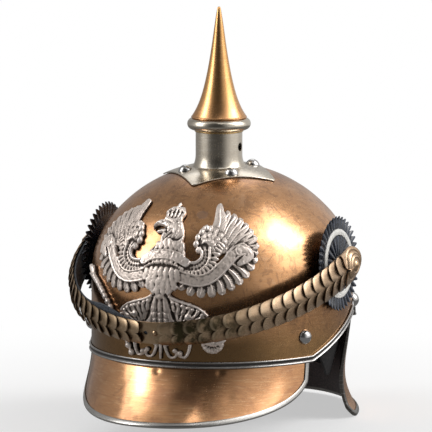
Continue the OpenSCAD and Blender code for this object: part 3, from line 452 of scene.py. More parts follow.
def eagle_finish():
    """Silvered brass: bright and rosy where rubbed, grey-brown in the hollows, with painted shade on the lower
    part near and below the chin strap.
    """
    f = worn_metal("antique silver", (0.82, 0.71, 0.635), (0.44, 0.35, 0.29), (0.96, 0.87, 0.80), 0.38,
                   mottle=0.45, scale=2.5, pits=0.000015)
    hollow = f.mark("hollow").between(0.47, 0.62)
    grime_and_shade = f.cloud(260, 4, 0.6)
    f.tint(f.mark("hollow").between(0.40, 0.16, 0, 1) * 0.45, (0.93, 0.87, 0.83))
    f.tint(grime_and_shade.between(0.52, 0.7) * 0.3, (0.30, 0.23, 0.185))
    # Painted shade on the lowest part of the eagle (tail, claws, orb, foot of the sceptre), broken up by the
    # noise
    low = (f.axis("Z") - LIFT).between(-0.148, -0.112, 1, 0)
    f.tint(low * (grime_and_shade.between(0.35, 0.6) * 0.35 + 0.25), (0.26, 0.20, 0.155))
    f.tint(hollow * 0.96, (0.04, 0.027, 0.02))
    return f.done(metal=0.62, rough=f.rough + hollow * 0.3)


def scale_finish(name, stain):
    """Chin scales: old brass, dark olive stains on one side of the clasp, darker brass towards the front that
    is partly a painted dark reflection, and painted shadow along the overlaps and edges.
    """
    f = worn_metal(name, (0.67, 0.465, 0.30), (0.28, 0.175, 0.085), (0.88, 0.70, 0.53), 0.27, mottle=0.5,
                   scale=3.0)
    x = f.axis("X")
    ahead = (f.axis("Y") - AXIS_Y).between(-0.134, -0.082, 1, 0)
    stained = ahead * x.between(0.008, 0.024)
    far_side = x.between(-0.075, -0.02, 1, 0)
    blotch = f.cloud(85, 6, 0.72, warp=0.15)
    # Darker brass towards the front, partly old stain and partly a painted dark reflection; darker brass on the
    # far strand too
    f.tint(ahead * 0.35 + far_side * 0.35, (0.34, 0.245, 0.13))
    f.tint((blotch + stained * 0.16).between(0.52, 0.72) * (stained * 0.8 + stain), (0.075, 0.062, 0.03))
    verdigris = f.cloud(150, 5, 0.7).between(0.62, 0.75)
    f.tint(verdigris * 0.3 * (ahead + 0.2), (0.20, 0.24, 0.14))
    f.tint(f.mark("rubbed") * 0.4, (0.84, 0.65, 0.44))
    # On the scales and the boss plate the hollow mark is painted shadow: under the edge of each overlapping
    # scale, along the scales' edges, on their undersides and in the grooves of the boss
    hollow = f.mark("hollow")
    f.tint(hollow * 0.85, (0.035, 0.022, 0.012))
    return f.done(metal=0.97, rough=f.rough + hollow * 0.3 + ahead * blotch * 0.1)


def spike_finish():
    """Spike: golden brass with a soft satin, redder at the foot."""
    f = worn_metal("satin brass spike", (0.83, 0.455, 0.18), (0.46, 0.22, 0.075), (0.95, 0.66, 0.38), 0.27,
                   mottle=0.45, scale=2.0)
    f.tint((f.axis("Z") - LIFT).between(0.037, 0.062, 1, 0) * 0.55, (0.64, 0.33, 0.17))
    streaks = f.cloud(1.0, 4, 0.6, f.stretch(420, 420, 26))
    f.tint(streaks.between(0.5, 0.7) * 0.35, (0.46, 0.25, 0.09))
    return f.done()


def rim_finish(name, base, groove):
    """Nickel edging: bright beads with grime between them."""
    f = worn_metal(name, base, (0.24, 0.225, 0.21), (0.86, 0.85, 0.82), 0.27, mottle=0.45, scale=3.5)
    dirt = f.mark("hollow") * groove
    f.tint(dirt, (0.045, 0.04, 0.037))
    return f.done(rough=f.rough + dirt * 0.25)


def leather(name, base, deep, worn, rough=0.55, grain=620.0):
    """Leather: pebbled grain, creases, rubbed high spots and grime."""
    f = Finish(name, base)
    cells = f.cells("SMOOTH_F1", Scale=grain, Smoothness=0.6, Randomness=0.95)
    folds = f.cloud(38, 5, 0.6, warp=1.4)
    fine = f.cloud(1500, 2, 0.5)
    wear = f.cloud(17, 4, 0.6)
    f.tint(cells.between(0.15, 0.7), deep)
    f.tint(folds.between(0.5, 0.7) * 0.6, deep)
    f.tint(wear.between(0.55, 0.75) * 0.6, worn)
    height = (1 - cells) * 0.6 + folds * 1.1 + fine * 0.15
    return f.done(metal=0.0, rough=wear * 0.25 + (rough - 0.1), specular=0.4,
                  normal=f.bump(height, 0.0004, 0.75))


def lacquer(name, base, worn, rough, metalness):
    """Painted and lacquered sheet of the cockades, chipped and rubbed on the ridges; on black lacquer the
    lighter colour of the rubbed ridges is also a painted glint.
    """
    f = Finish(name, base)
    patch = f.cloud(90, 5, 0.7, warp=0.8)
    fine = f.cloud(800, 3, 0.6)
    # Rubbed patches on the ridges: worn paint with metal showing, and on black lacquer a lighter blue-grey that
    # is also a painted glint
    rubbed = f.mark("ridge") * patch.between(0.32, 0.62)
    f.tint(patch.between(0.45, 0.75) * 0.35, worn)
    f.tint(rubbed * 0.85, worn)
    f.tint(f.cells("DISTANCE_TO_EDGE", Scale=260.0).between(0.0, 0.02, 1, 0) * 0.3, worn)
    return f.done(metal=rubbed * metalness, rough=fine * 0.18 + (rough - 0.09) + rubbed * 0.05,
                  coat=0.35, coat_rough=0.15, normal=f.bump(fine * 0.4 + patch, 0.00006, 0.7))


bowl_metal = bowl_finish()
visor_metal = visor_finish()
neck_metal = metal("tombak neck guard", TOMBAK, TOMBAK_DEEP, TOMBAK_BRIGHT, 0.26, mottle=0.75)
silver = eagle_finish()
scale_brass = scale_finish("old brass scales", 0.3)
boss_brass = metal("boss brass", (0.64, 0.43, 0.25), (0.29, 0.17, 0.09), (0.88, 0.68, 0.46), 0.22,
                   mottle=0.55, scale=3.0)
clasp_brass = scale_finish("stained clasp brass", 0.5)
spike_brass = spike_finish()
nickel = metal("warm nickel", (0.66, 0.59, 0.49), (0.40, 0.34, 0.255), (0.84, 0.79, 0.71), 0.22,
               mottle=0.4, scale=2.0, streak=0.4)
steel = metal("rivet steel", (0.60, 0.585, 0.57), (0.26, 0.24, 0.225), (0.88, 0.87, 0.86), 0.19,
              mottle=0.35, scale=4.0)
trim_metal = rim_finish("edge trim nickel", (0.46, 0.445, 0.43), 0.9)
rim_metal = rim_finish("rim channel nickel", (0.55, 0.53, 0.50), 0.8)
neck_rim_metal = rim_finish("blackened rim channel", (0.16, 0.145, 0.13), 0.8)
bush_brass = metal("bush brass", (0.66, 0.46, 0.22), (0.34, 0.21, 0.08), (0.88, 0.68, 0.38), 0.25, scale=4.0)
black_leather = leather("black leather", (0.014, 0.012, 0.012), (0.006, 0.005, 0.005), (0.035, 0.03, 0.028),
                        0.62)
brown_leather = leather("brown leather", (0.10, 0.06, 0.055), (0.04, 0.022, 0.02), (0.26, 0.18, 0.165))
strap_leather = leather("strap leather", (0.070, 0.080, 0.095), (0.028, 0.032, 0.040), (0.16, 0.175, 0.19),
                        grain=900.0)
# The blue-grey worn colour of the black lacquer, on rubbed ridges, is partly a painted glint
black_lacquer = lacquer("black lacquer", (0.007, 0.008, 0.012), (0.13, 0.15, 0.20), 0.24, 0.85)
white_lacquer = lacquer("white lacquer", (0.84, 0.82, 0.77), (0.42, 0.38, 0.33), 0.35, 0.1)
red_lacquer = lacquer("red lacquer", (0.33, 0.022, 0.016), (0.16, 0.05, 0.035), 0.3, 0.3)


# ---------------------------------------- shell of the helmet
def make_skull():
    """Raised bowl, a little uneven wherever no edge band lies on it."""
    az = np.linspace(0, 360, 300, endpoint=False)
    turn = math.degrees(math.acos((CROWN_R - BELT) / (CROWN_R - SIDE_R)))
    z = [edge_z(az) + (-BELT - edge_z(az)) * k / 10 for k in range(10)]
    z += [-BELT + SIDE_R * cosd(a) + 0 * az for a in np.linspace(90, turn, 30)]
    z += [-CROWN_R * (1 - cosd(a)) + 0 * az for a in np.linspace(turn, 6.15, 42)[1:]]
    z = np.array(z)
    x, y = np.moveaxis(on_skull(az, z), -1, 0)[:2]
    free = smooth((z + 140) / 20) * smooth((-z - 8) / 12)
    dent = 0.18 * sines(x, z, 3, 17) + 0.10 * sines(x, y, 5, 7) + 0.05 * sines(x + y, z, 12, 4)
    piece("skull_bowl", shell(on_skull(az, z, (dent - 0.12) * free), on_skull(az, z, -0.9), True),
          bowl_metal, "skull")


def make_band(name, node, az, shift, section, dirt):
    """Bar along the bowl's edge; its section is in pairs of height above the edge and distance out."""
    rings = np.stack([on_skull(az, edge_z(az) + shift + s, h) for s, h in section], 1)
    piece(name, tube(rings), trim_metal, node, 50, marks={"hollow": dirt * len(az)})


def make_bands():
    """Edge band, a bead along each side and a dark groove between them, and the band over the seam."""
    make_band("edge_trim", "skull_trim", np.linspace(-EAR_REAR, EAR_REAR, 420), 0.4,
              [(-2.6, 0.45), (-2.75, 1.1), (-2.45, 1.75), (-1.9, 2.0), (-1.35, 1.75), (-1.05, 1.2), (-0.6, 1.0),
               (0, 0.95), (0.6, 1.0), (1.05, 1.2), (1.35, 1.7), (1.9, 1.9), (2.45, 1.65), (2.7, 1.0),
               (2.6, 0.45), (0, 0.42)],
              [0.3, 0.1, 0, 0, 0.1, 0.8, 1, 1, 1, 0.8, 0.1, 0, 0, 0.3, 0.8, 0.9])
    az = 180 + (np.linspace(EAR_REAR, 360 - EAR_REAR, 260) - 180) * 0.992
    make_band("seam_band", "neck_seam_band", az, 0,
              [(-5, 1.25), (-4.9, 2.2), (-4.3, 2.9), (-3.4, 2.75), (-2.6, 2.35), (-1, 2.2), (0.6, 2.1),
               (1.5, 2.15), (2.3, 1.8), (2.6, 1.1), (2.6, 0.45), (0, 0.42), (-2, 0.45), (-3.5, 0.9)],
              [0.4, 0.1, 0, 0.1, 0.7, 0.9, 0.8, 0.2, 0, 0.2, 0.8, 1, 1, 0.8])


# Azimuth, depth on the sheet, size and deepness of the visor's dents
VISOR_DENTS = [(-2, 0.13, 3.2, 0.55), (26.5, 0.12, 3.0, 0.6), (33, 0.55, 5, 0.25), (14, 0.62, 8, 0.3),
               (-20, 0.4, 7, 0.2)]
FLANGE_ROWS = [-0.3, -0.65, -1]


def make_visor():
    """The peak, with its flange inside the bowl, and the leather under it."""
    az = VISOR_END * (np.sin(np.linspace(-np.pi / 2, np.pi / 2, 260)) * 0.45 + np.linspace(-1, 1, 260) * 0.55)
    a, v = np.meshgrid(az, np.append(np.linspace(1, 0.001, 56), FLANGE_ROWS))
    u = np.where(v < 0, v, v * visor_end(a))
    dent = 0.15 * sines(a, u * 30, 2, 6) + 0.16 * sines(a, u * 44, 7, 15)
    dent = dent * smooth(u * 6) * smooth((0.93 - v) * 9)
    for da, du, size, deep in VISOR_DENTS:
        gap = ((a - da) * 1.95) ** 2 + ((u - du) * 52) ** 2
        dent = dent - deep * np.exp(-gap / size ** 2) + 0.4 * deep * np.exp(-gap / (1.9 * size) ** 2)
    sheet = shell(off_sheet(visor_at, a, u, PLATE_T / 2 + dent), off_sheet(visor_at, a, u, -PLATE_T / 2))
    piece("visor_sheet", sheet, visor_metal, "visor")
    first, rim = 0.08, 3.7 / VISOR_DROP  # the leather starts below the bowl's edge and stops at the rim
    a, v = np.meshgrid(np.linspace(-64.5, 64.5, 160), np.linspace(1, 0, 26))
    u = first + v * (visor_end(np.minimum(EAR_FRONT, np.abs(a) + 3.6)) - rim - first)
    pad = 0.25 * (1 - (2 * v - 1) ** 8) + 0.08 * sines(a, u * 40, 6, 3)
    leaf = shell(off_sheet(visor_at, a, u, -PLATE_T / 2 - 0.45),
                 off_sheet(visor_at, a, u, -PLATE_T / 2 - 1.4 - pad))
    piece("visor_leather", leaf, black_leather, "visor_lining")


def make_neck_guard():
    """The tail, with its flange inside the bowl, and the leather under it."""
    az = np.linspace(EAR_REAR, 360 - EAR_REAR, 280)
    a, v = np.meshgrid(az, np.append(np.linspace(1, 0.001, 60), FLANGE_ROWS))
    t = np.where(v < 0, v, v * neck_end(a))
    dent = 0.14 * sines(a, t * 60, 4, 9) * smooth(t * 8) * smooth((0.95 - v) * 9)
    sheet = shell(off_sheet(neck_at, a, t, PLATE_T / 2 + dent), off_sheet(neck_at, a, t, -PLATE_T / 2))
    piece("neck_guard_sheet", sheet, neck_metal, "neck_guard")
    az = 180 + (np.linspace(EAR_REAR, 360 - EAR_REAR, 200) - 180) * 0.972
    a, v = np.meshgrid(az, np.linspace(0.95, 0.06, 44))
    t = v * neck_end(a)
    swell = 0.35 * (1 - (2 * (v - 0.06) / 0.89 - 1) ** 6) + 0.16 * sines(a * 1.2, t * 50, 8, 5)
    leaf = shell(off_sheet(neck_at, a, t, -PLATE_T / 2 - 0.8),
                 off_sheet(neck_at, a, t, -PLATE_T / 2 - 1.9 - 0.3 * swell))
    piece("neck_guard_leather", leaf, brown_leather, "neck_guard_lining")


# Half of the rim channel's section, in pairs of distance beyond the edge and out from the sheet
RIM_SECTION = [(-3.3, 0.66), (-3.3, 1.15), (-2.9, 1.36), (-2.0, 1.42), (-0.8, 1.46), (0.1, 1.40), (0.7, 1.1),
               (1.02, 0.6), (1.1, 0)]
RIM_DIRT = [1, 0.5, 0.1, 0, 0, 0, 0, 0.05, 0.1]


def make_rim(name, node, finish, at, az, depth):
    """Folded channel: over the free edge of a sheet, down its ends, and back on its other side."""
    down = np.linspace(0.08, 0.985, 36)
    a = np.concatenate([np.full(36, az[0]), az, np.full(36, az[-1])])
    u = np.concatenate([down, np.ones(len(az)), down[::-1]]) * depth(a)
    line, normal = at(a, u), sheet_normal(at, a, u)
    ahead = np.roll(line, -1, 0) - np.roll(line, 1, 0)
    ahead[0], ahead[-1] = line[1] - line[0], line[-1] - line[-2]
    beyond = unit(np.cross(unit(ahead), normal))
    section = RIM_SECTION + [(s, -h) for s, h in RIM_SECTION[-2::-1]] + [(0.1, -0.65), (0.15, 0), (0.1, 0.65)]
    dirt = RIM_DIRT + RIM_DIRT[-2::-1] + [1, 1, 1]
    rings = np.stack([line + s * beyond + h * normal for s, h in section], 1)
    piece(name, tube(rings), finish, node, 50, marks={"hollow": dirt * len(line)})


LINER_H, LINER_TURN, LINER_TOP, TONGUES = 4.6, -118.0, -98.0, 10


def liner_depth(z):
    return LINER_H + 13 * np.clip((LINER_TURN - z) / 51, 0, 1)


def make_liner():
    """Sweatband with a turned edge, and ten tongues that rise to the crown."""
    az = np.linspace(0, 360, 260, endpoint=False)
    low = -SKULL_H + 5 - 28 * smooth((plan_y(az) + 25) / 60)
    v = np.linspace(0, 1, 30)[:, None]
    z = low + (LINER_TOP - low) * v
    thick = 1.25 + 0.35 * bell(v, 0.06) + 0.2 * (1 + 0.3 * sines(az * 1.4, z, 9, 6))
    band = shell(on_skull(az, z, -liner_depth(z)), on_skull(az, z, -liner_depth(z) - thick), True)
    piece("sweatband", band, black_leather, "liner_band")
    parts, span = [], 360 / TONGUES
    for k in range(TONGUES):
        v = np.linspace(0, 1, 34)
        half = span * 0.47 * (1 - 0.12 * v - 0.62 * v ** 3) * np.sqrt(np.clip((1.03 - v) / 0.09, 0, 1))
        s, v = np.meshgrid(np.linspace(-1, 1, 15), v)
        a = (k + 0.5) * span + s * half[:, None]
        z = LINER_TOP - 6 + v * 84
        sag = 6.3 + 7 * sind(90 * v) + 0.35 * sines(a, z, k, 5) - 0.5 * (1 - s ** 2) * v
        parts.append(shell(on_skull(a, z, -sag), on_skull(a, z, -sag - 1.3)))
    piece("liner_tongue_set", joined(*parts), black_leather, "liner_tongues")


def on_dome(x, y, h):
    """Points h above the crown of the bowl, by their place seen from above."""
    z = -CROWN_R + np.sqrt(CROWN_R ** 2 - x ** 2 - ((y - SKULL_BACK) / OVAL) ** 2)
    return xyz(x, y, z) + h * unit(xyz(x, (y - SKULL_BACK) / OVAL ** 2, z + CROWN_R))


NECK_R, NECK_H, NECK_WALL, FOOT_C, FILLET = 18.7, 26.5, 1.2, 49.5, 3.9
VENT_R, VENT_Z = 0.0035, 0.015


def make_spike_neck():
    """Neck with its square foot plate, the corners of the plate a little rounded."""
    a = np.radians(np.arange(240) * 1.5)
    s, c = np.sin(a), -np.cos(a)
    square = np.minimum(FOOT_C / (np.abs(s) ** 1.04 + np.abs(c) ** 1.04), FOOT_C - 1.1)
    root = NECK_R + FILLET

    def foot(r, h):
        return on_dome(r * s, r * c, h)

    rings = [foot(square, 0.75), foot(square - 0.12, 1.2), foot(square - 0.45, 1.4)]
    rings += [foot(square + k * (root - square), 1.4) for k in np.linspace(0.02, 1, 16)]
    base = rings[-1][:, 2]
    for q in np.linspace(0.08, 1, 12) * math.pi / 2:
        r = NECK_R + FILLET * (1 - math.sin(q))
        rings.append(xyz(r * s, r * c, base + (8 - base) * (1 - math.cos(q))))
    rings += [xyz(NECK_R * s, NECK_R * c, z) for z in np.linspace(9, NECK_H, 20)]
    bore = NECK_R - NECK_WALL
    rings += [xyz(bore * s, bore * c, z) for z in np.linspace(1.2, NECK_H, 12)[::-1]]
    rings += [foot(NECK_R + 1, 0.45), foot(square + 0.5 * (root - square), 0.45), foot(square, 0.45)]
    form = np.concatenate(rings), grid_faces(len(rings), len(a), True, True)
    item = piece("neck_and_foot", form, nickel, "spike_neck", 45)
    # Vent holes, cut right through
    drill = bpy.data.meshes.new("drill")
    work = bmesh.new()
    bmesh.ops.create_cone(work, cap_ends=True, segments=48, radius1=VENT_R, radius2=VENT_R, depth=0.06)
    for v in work.verts:
        v.co = Vector((v.co.z, v.co.x + AXIS_Y, v.co.y + LIFT + VENT_Z))
    work.to_mesh(drill)
    work.free()
    tool = added("drill", drill)
    cut = item.modifiers.new("vents", "BOOLEAN")
    cut.operation, cut.object, cut.solver = "DIFFERENCE", tool, "EXACT"
    graph = bpy.context.evaluated_depsgraph_get()
    mesh = bpy.data.meshes.new_from_object(item.evaluated_get(graph))
    item.modifiers.clear()
    item.data = mesh
    bpy.data.objects.remove(tool)
    mesh.set_sharp_from_angle(angle=math.radians(42))


SPIKE_R, TIP_R, SPIKE_LOW, SPIKE_RISE = 22, 1.2, 38.8, 87.1
RING_R, BULGE = 25.4, 4.7


def make_turnings():
    """Spike, the ring under it and the bush in the neck."""
    q = np.linspace(0, 1, 110)
    part = 0.49 * q + 0.04 * (1 - np.exp(-11 * q)) + 0.31 * q ** 3 + 0.16 * q ** 10
    h = SPIKE_LOW + SPIKE_RISE * (1 - q)
    tip = [(TIP_R * math.sin(b), h[0] - 0.2 + math.cos(b)) for b in np.linspace(0.05, 1.45, 8)]
    lip = [(22.15, 38.75), (22.3, 38.3), (22.2, 37.95), (21.9, 37.75), (20.5, 37.72)]
    inside = [(19.5, 38.0), (16, 39.4), (11, 47), (7, 62), (3.5, 86), (0.4, 100)]
    flank = list(zip(TIP_R + (SPIKE_R - TIP_R) * part, h))
    piece("spike_body", turned(tip + flank + lip + inside, count=160), spike_brass, "spike", 50, "spike")
    bulge = [(RING_R - BULGE + BULGE * math.cos(t), RING_Z + BULGE + 4.65 * math.sin(t))
             for t in np.linspace(-np.pi / 2, np.pi / 2, 30)]
    profile = [(6.1, RING_Z + 0.05), (17, RING_Z + 0.02)] + bulge + [(17, RING_Z + 9.38), (6.1, RING_Z + 9.36)]
    piece("ring_under_spike", turned(profile, count=160), nickel, "spike_ring", 40, "spike_ring")
    profile = [(6.1, 28.05), (19.6, 28.1), (19.6, 26.62), (17.3, 26.6), (17.3, 22.7), (9.1, 22.7), (9.1, 13.7),
               (6.1, 13.7)]
    piece("neck_bush", turned(rounded(profile, 4, 0.5), count=128), bush_brass, "spike_bush", 40)


BIG_HEAD, SMALL_HEAD, SHANK_R = (6.0, 4.4), (5.6, 4.0), 1.55
ABOVE_EDGE, FOOT_RIVETS_R = 7.5, 28.5


def rivet(r, h, at, way, shank, reach):
    """Domed head of radius r and height h at a place, and its shank, from its inner end along way."""
    big = (r * r + h * h) / (2 * h)
    top = math.asin(min(1, r / big))
    dome = [(big * math.sin(t), h - big + big * math.cos(t)) for t in np.linspace(0.02, top, 16)]
    return [turned(dome + [(r, -0.05), (r * 0.6, -0.12)], at, way, 40),
            turned([(SHANK_R, 0), (SHANK_R, reach)], shank, way, 24)]


def make_rivets():
    """Five large ones through the bowl, and four through the foot of the neck."""
    parts = []
    for a in (65.5, -65.5, 115, 245, 180):
        z = -127.6 if abs(a) < 90 else float(edge_z(min(a, 360 - a))) + ABOVE_EDGE
        n = skull_n(a, z)
        inner = on_skull(a, z) - n * (liner_depth(z - 5) + 1.7)
        parts += rivet(*BIG_HEAD, on_skull(a, z, 0.4), n, inner - n * 1.5, 8)
    piece("large_rivets", joined(*parts), steel, "shell_rivets", 60)
    parts = []
    for a in (45, 135, 225, 315):
        x, y = FOOT_RIVETS_R * sind(a), -FOOT_RIVETS_R * cosd(a)
        at = on_dome(x, y, 1.5)
        n = unit(at - on_dome(x, y, 0.5))
        parts += rivet(*SMALL_HEAD, at, n, at - n * 6.2, 6)
    piece("foot_rivets", joined(*parts), steel, "neck_rivets", 60)


make_skull()
make_bands()
make_visor()
make_rim("visor_edge_channel", "visor_rim", rim_metal, visor_at,
         VISOR_END * np.sin(np.linspace(-np.pi / 2, np.pi / 2, 240)), visor_end)
make_rim("neck_edge_channel", "neck_guard_rim", neck_rim_metal, neck_at,
         np.linspace(EAR_REAR, 360 - EAR_REAR, 240), neck_end)
make_neck_guard()
make_liner()
make_spike_neck()
make_turnings()
make_rivets()


# ---------------------------------------- embossed eagle
# The relief is drawn flat, on a grid of width and height, and rolled round the bowl
STEP, UNROLL, BACK = 0.36, 100, 0.4  # mm a cell, mm of drawing to a radian, gap behind the plate
THIN_EDGE = 1.3
U = np.arange(-101, 85, STEP)
V = np.arange(-144, -19, STEP)
GU, GV = np.meshgrid(U, V)
height = np.zeros_like(GU)


def through(points, count=40):
    """Smooth line through points."""
    pts = np.array(points, float)
    if len(pts) == 2:
        return np.linspace(*pts, count)
    pts = np.vstack([2 * pts[0] - pts[1], pts, 2 * pts[-1] - pts[-2]])
    out = []
    per = max(4, count // (len(pts) - 3))
    for p0, p1, p2, p3 in zip(pts, pts[1:], pts[2:], pts[3:]):
        for t in np.linspace(0, 1, per, endpoint=False):
            out.append(0.5 * (2 * p1 + (p2 - p0) * t + (2 * p0 - 5 * p1 + 4 * p2 - p3) * t * t
                              + (3 * p1 - p0 - 3 * p2 + p3) * t ** 3))
    return np.array(out + [pts[-2]])


def near(line, reach):
    """Part of the grid near a line: slices, share along the line, signed distance, length."""
    low, high = line.min(0) - reach, line.max(0) + reach
    i0, i1 = np.searchsorted(V, (low[1], high[1]))
    j0, j1 = np.searchsorted(U, (low[0], high[0]))
    cut = (slice(i0, i1), slice(j0, j1))
    px, py = GU[cut], GV[cut]
    best = np.full(px.shape, 1e9)
    along, side = np.zeros(px.shape), np.zeros(px.shape)
    steps = np.linalg.norm(np.diff(line, axis=0), axis=1)
    total, run = steps.sum(), 0.0
    for a, b, size in zip(line, line[1:], steps):
        e = (b - a) / max(size, 1e-9)
        t = np.clip((px - a[0]) * e[0] + (py - a[1]) * e[1], 0, size)
        dx, dy = px - a[0] - t * e[0], py - a[1] - t * e[1]
        gap = dx * dx + dy * dy
        closer = gap < best
        best = np.where(closer, gap, best)
        along = np.where(closer, (run + t) / total, along)
        side = np.where(closer, np.sign(e[0] * dy - e[1] * dx), side)
        run += size
    return cut, along, side * np.sqrt(best), total


def stamp(line, widths, base, crest, barb=0.0, slant=0.9, pitch=1.15, shaft=0.0, over=False, rim=0.0,
          power=0.5, dip=0.0, lean=0.0, grain=0.0):
    """Raises one leaf, feather or band: half-widths along it, height of its edge and of its crest.
    Barbs slant from a raised shaft; a rim stands up along the edge, a dip lies inside it."""
    line = through(line) if len(line) < 12 else np.asarray(line)
    widths = np.asarray(widths, float)
    cut, along, gap, total = near(line, widths.max() + 0.5)
    w = np.interp(along, np.linspace(0, 1, len(widths)), widths)
    s = np.abs(gap) / np.maximum(w, 0.05)
    inside = s < 1
    form = base + (crest - base) * (1 - np.clip(s, 0, 1) ** 2) ** power + lean * gap / w
    if barb:
        phase = (along * total - slant * np.abs(gap)) / pitch
        strength = np.clip(s * 3, 0, 1) * np.clip((1 - s) * 4, 0, 1)
        form = form - barb * (0.5 + 0.5 * np.cos(2 * np.pi * phase)) * strength
    form = form + shaft * bell(gap, 0.42) - 0.5 * shaft * bell(np.abs(gap) - 0.95, 0.3)
    form = form - dip * bell(s - 0.62, 0.12) + grain * stipple[cut] * (s < 0.72)
    form = form + rim * bell(s - 0.86, 0.10) - 0.4 * rim * bell(s - 0.66, 0.08)
    patch = height[cut]
    if over:
        patch[inside] = form[inside]
    else:
        patch[inside] = np.maximum(patch[inside], form[inside])


def bead(u, v, r, crest, base=0.6):
    stamp([(u - 0.01, v), (u + 0.01, v)], [r, r], base, crest)


def beads(line, count, r, crest):
    pts = through(line, 60)
    for k in np.linspace(0, len(pts) - 1, count):
        bead(*pts[int(round(k))], r, crest, crest * 0.5)


def lay(*args, **detail):
    """A stamp that also hides what stood higher under it."""
    stamp(*args, over=True, **detail)


def flip(s, points):
    """The same points on one wing's side or the other's."""
    return [(s * u, v) for u, v in points]


def plume(s, root, tip, w, base, crest, bow=0.8, **detail):
    """Feather from root to tip, a little bowed, widest two thirds of the way out."""
    root, tip = np.array(root, float), np.array(tip, float)
    ahead = unit(tip - root)
    mid = (root + tip) / 2 + bow * np.array([-ahead[1], ahead[0]])
    end = tip - ahead * w * 0.8
    lay(flip(s, [root, mid, end]), [0.6 * w, 0.85 * w, w, 1.02 * w, 0.8 * w], base, crest, **detail)


def wing(s):
    """One wing, from its back layers to its front ones."""
    lower = [((76, -58), (58, -57)), ((75, -64), (57, -59)), ((72, -70), (56, -61.5)), ((67.5, -76), (53, -65)),
             ((62, -81.5), (50, -68)), ((55.5, -86), (46.5, -71)), ((48, -89.5), (42, -74)),
             ((40, -91.5), (37, -76)), ((31.5, -92), (31, -77.5)), ((23, -90.5), (25, -77.5)),
             ((15.5, -86.5), (19, -76))]
    for tip, root in lower:
        plume(s, root, tip, 4.1, 1.3, 2.5, power=0.35, barb=0.35, shaft=0.6, pitch=1.7, lean=-0.6 * s, dip=0.25)
    quills = [((77.5, -52.5), (55, -59), 3.3), ((76.5, -46.8), (53, -58), 3.5), ((74, -41.8), (51, -57), 3.6),
              ((70.5, -37.4), (49, -55.5), 3.7), ((66, -33.6), (47, -54), 3.8),
              ((60.5, -30.6), (45, -52.5), 3.9), ((54, -28.2), (42, -51), 4.1)]
    for tip, root, w in quills:
        plume(s, root, tip, w, 1.5, 2.6, bow=1.6, power=0.35, barb=0.4, shaft=0.5, pitch=1.6, lean=-0.65 * s)
    lay(flip(s, [(37, -50), (44.5, -38), (44.6, -27.6)]), [3.5, 4.8, 5.7, 6.0, 5.4, 4.2], 1.9, 3.0, barb=0.45,
        shaft=0.6, pitch=1.7, power=0.3, lean=-0.5 * s)
    # Shoulder, and rows of short lobed coverts on it
    lay(flip(s, [(30, -48), (36, -49), (43, -54)]), [5.5, 7.5, 6.5], 1.6, 2.6)
    centre = np.array([35.0, -56.0])
    for count, reach, size, lift in ((6, 17.8, 3.3, 3.1), (6, 13.0, 3.0, 3.5), (5, 8.4, 2.6, 3.9)):
        for k in range(count):
            a = math.radians(-8 + (k + 0.5) * 122 / count)
            way = np.array([math.cos(a), math.sin(a)])
            plume(s, centre + way * (reach - 6.8), centre + way * reach, size, lift - 0.9, lift, bow=0.3,
                  power=0.45, shaft=0.35, barb=0.2)
    for u, v, r in ((33.4, -40.6, 2.5), (29.4, -43.4, 2.5), (26.4, -47.2, 2.5), (25.7, -51.7, 2.6),
                    (28.2, -56, 2.6)):
        bead(s * u, v, r, 4.2, 1.6)
    # Two rails with small scales between them, then small feathers, then the ribbon
    rail_1 = [(15, -64.5), (20, -65), (26, -65), (30.3, -62.3), (31.2, -58.2), (29, -54.8)]
    rail_2 = [(15, -71), (22, -72), (29, -71.5), (34.3, -67.8), (37.2, -62.5), (37.3, -54.5)]
    middle = (np.array(rail_1) + rail_2) / 2
    lay(flip(s, middle), [4.2, 4.2, 4.2, 3.6], 1.3, 2.8, barb=0.9, slant=0.0, pitch=2.4, power=0.25)
    lay(flip(s, rail_1), [1.35], 1.8, 3.9)
    lay(flip(s, rail_2), [1.35], 1.8, 3.9)
    fringe = through([(16, -74.5), (25, -76), (34, -73.5), (41, -67), (44, -58), (48, -53)], 70)
    for k in range(len(fringe) - 2, 1, -5):
        p, ahead = fringe[k], unit(fringe[min(k + 1, len(fringe) - 1)] - fringe[k - 1])
        up = np.array([-ahead[1], ahead[0]])
        plume(s, p + up * 4.0, p - up * 2.2, 1.9, 2.2, 3.3, bow=0.0, shaft=0.3)
    ribbon = [(13.5, -75), (20, -77), (28.3, -78.5), (35, -77.4), (41, -74), (49.5, -65.5), (56.5, -58.5),
              (63, -55.8)]
    lay(flip(s, ribbon), [4.5], 2.7, 3.5, rim=0.8, power=0.16, grain=0.05)
    lay(flip(s, [(60.5, -57), (65.5, -56.6), (68, -60.3), (64, -63.6), (60, -66)]),
        [3.6, 3.5, 3.3, 3.0, 1.8], 2.8, 4.1, rim=0.6, power=0.25, grain=0.05)


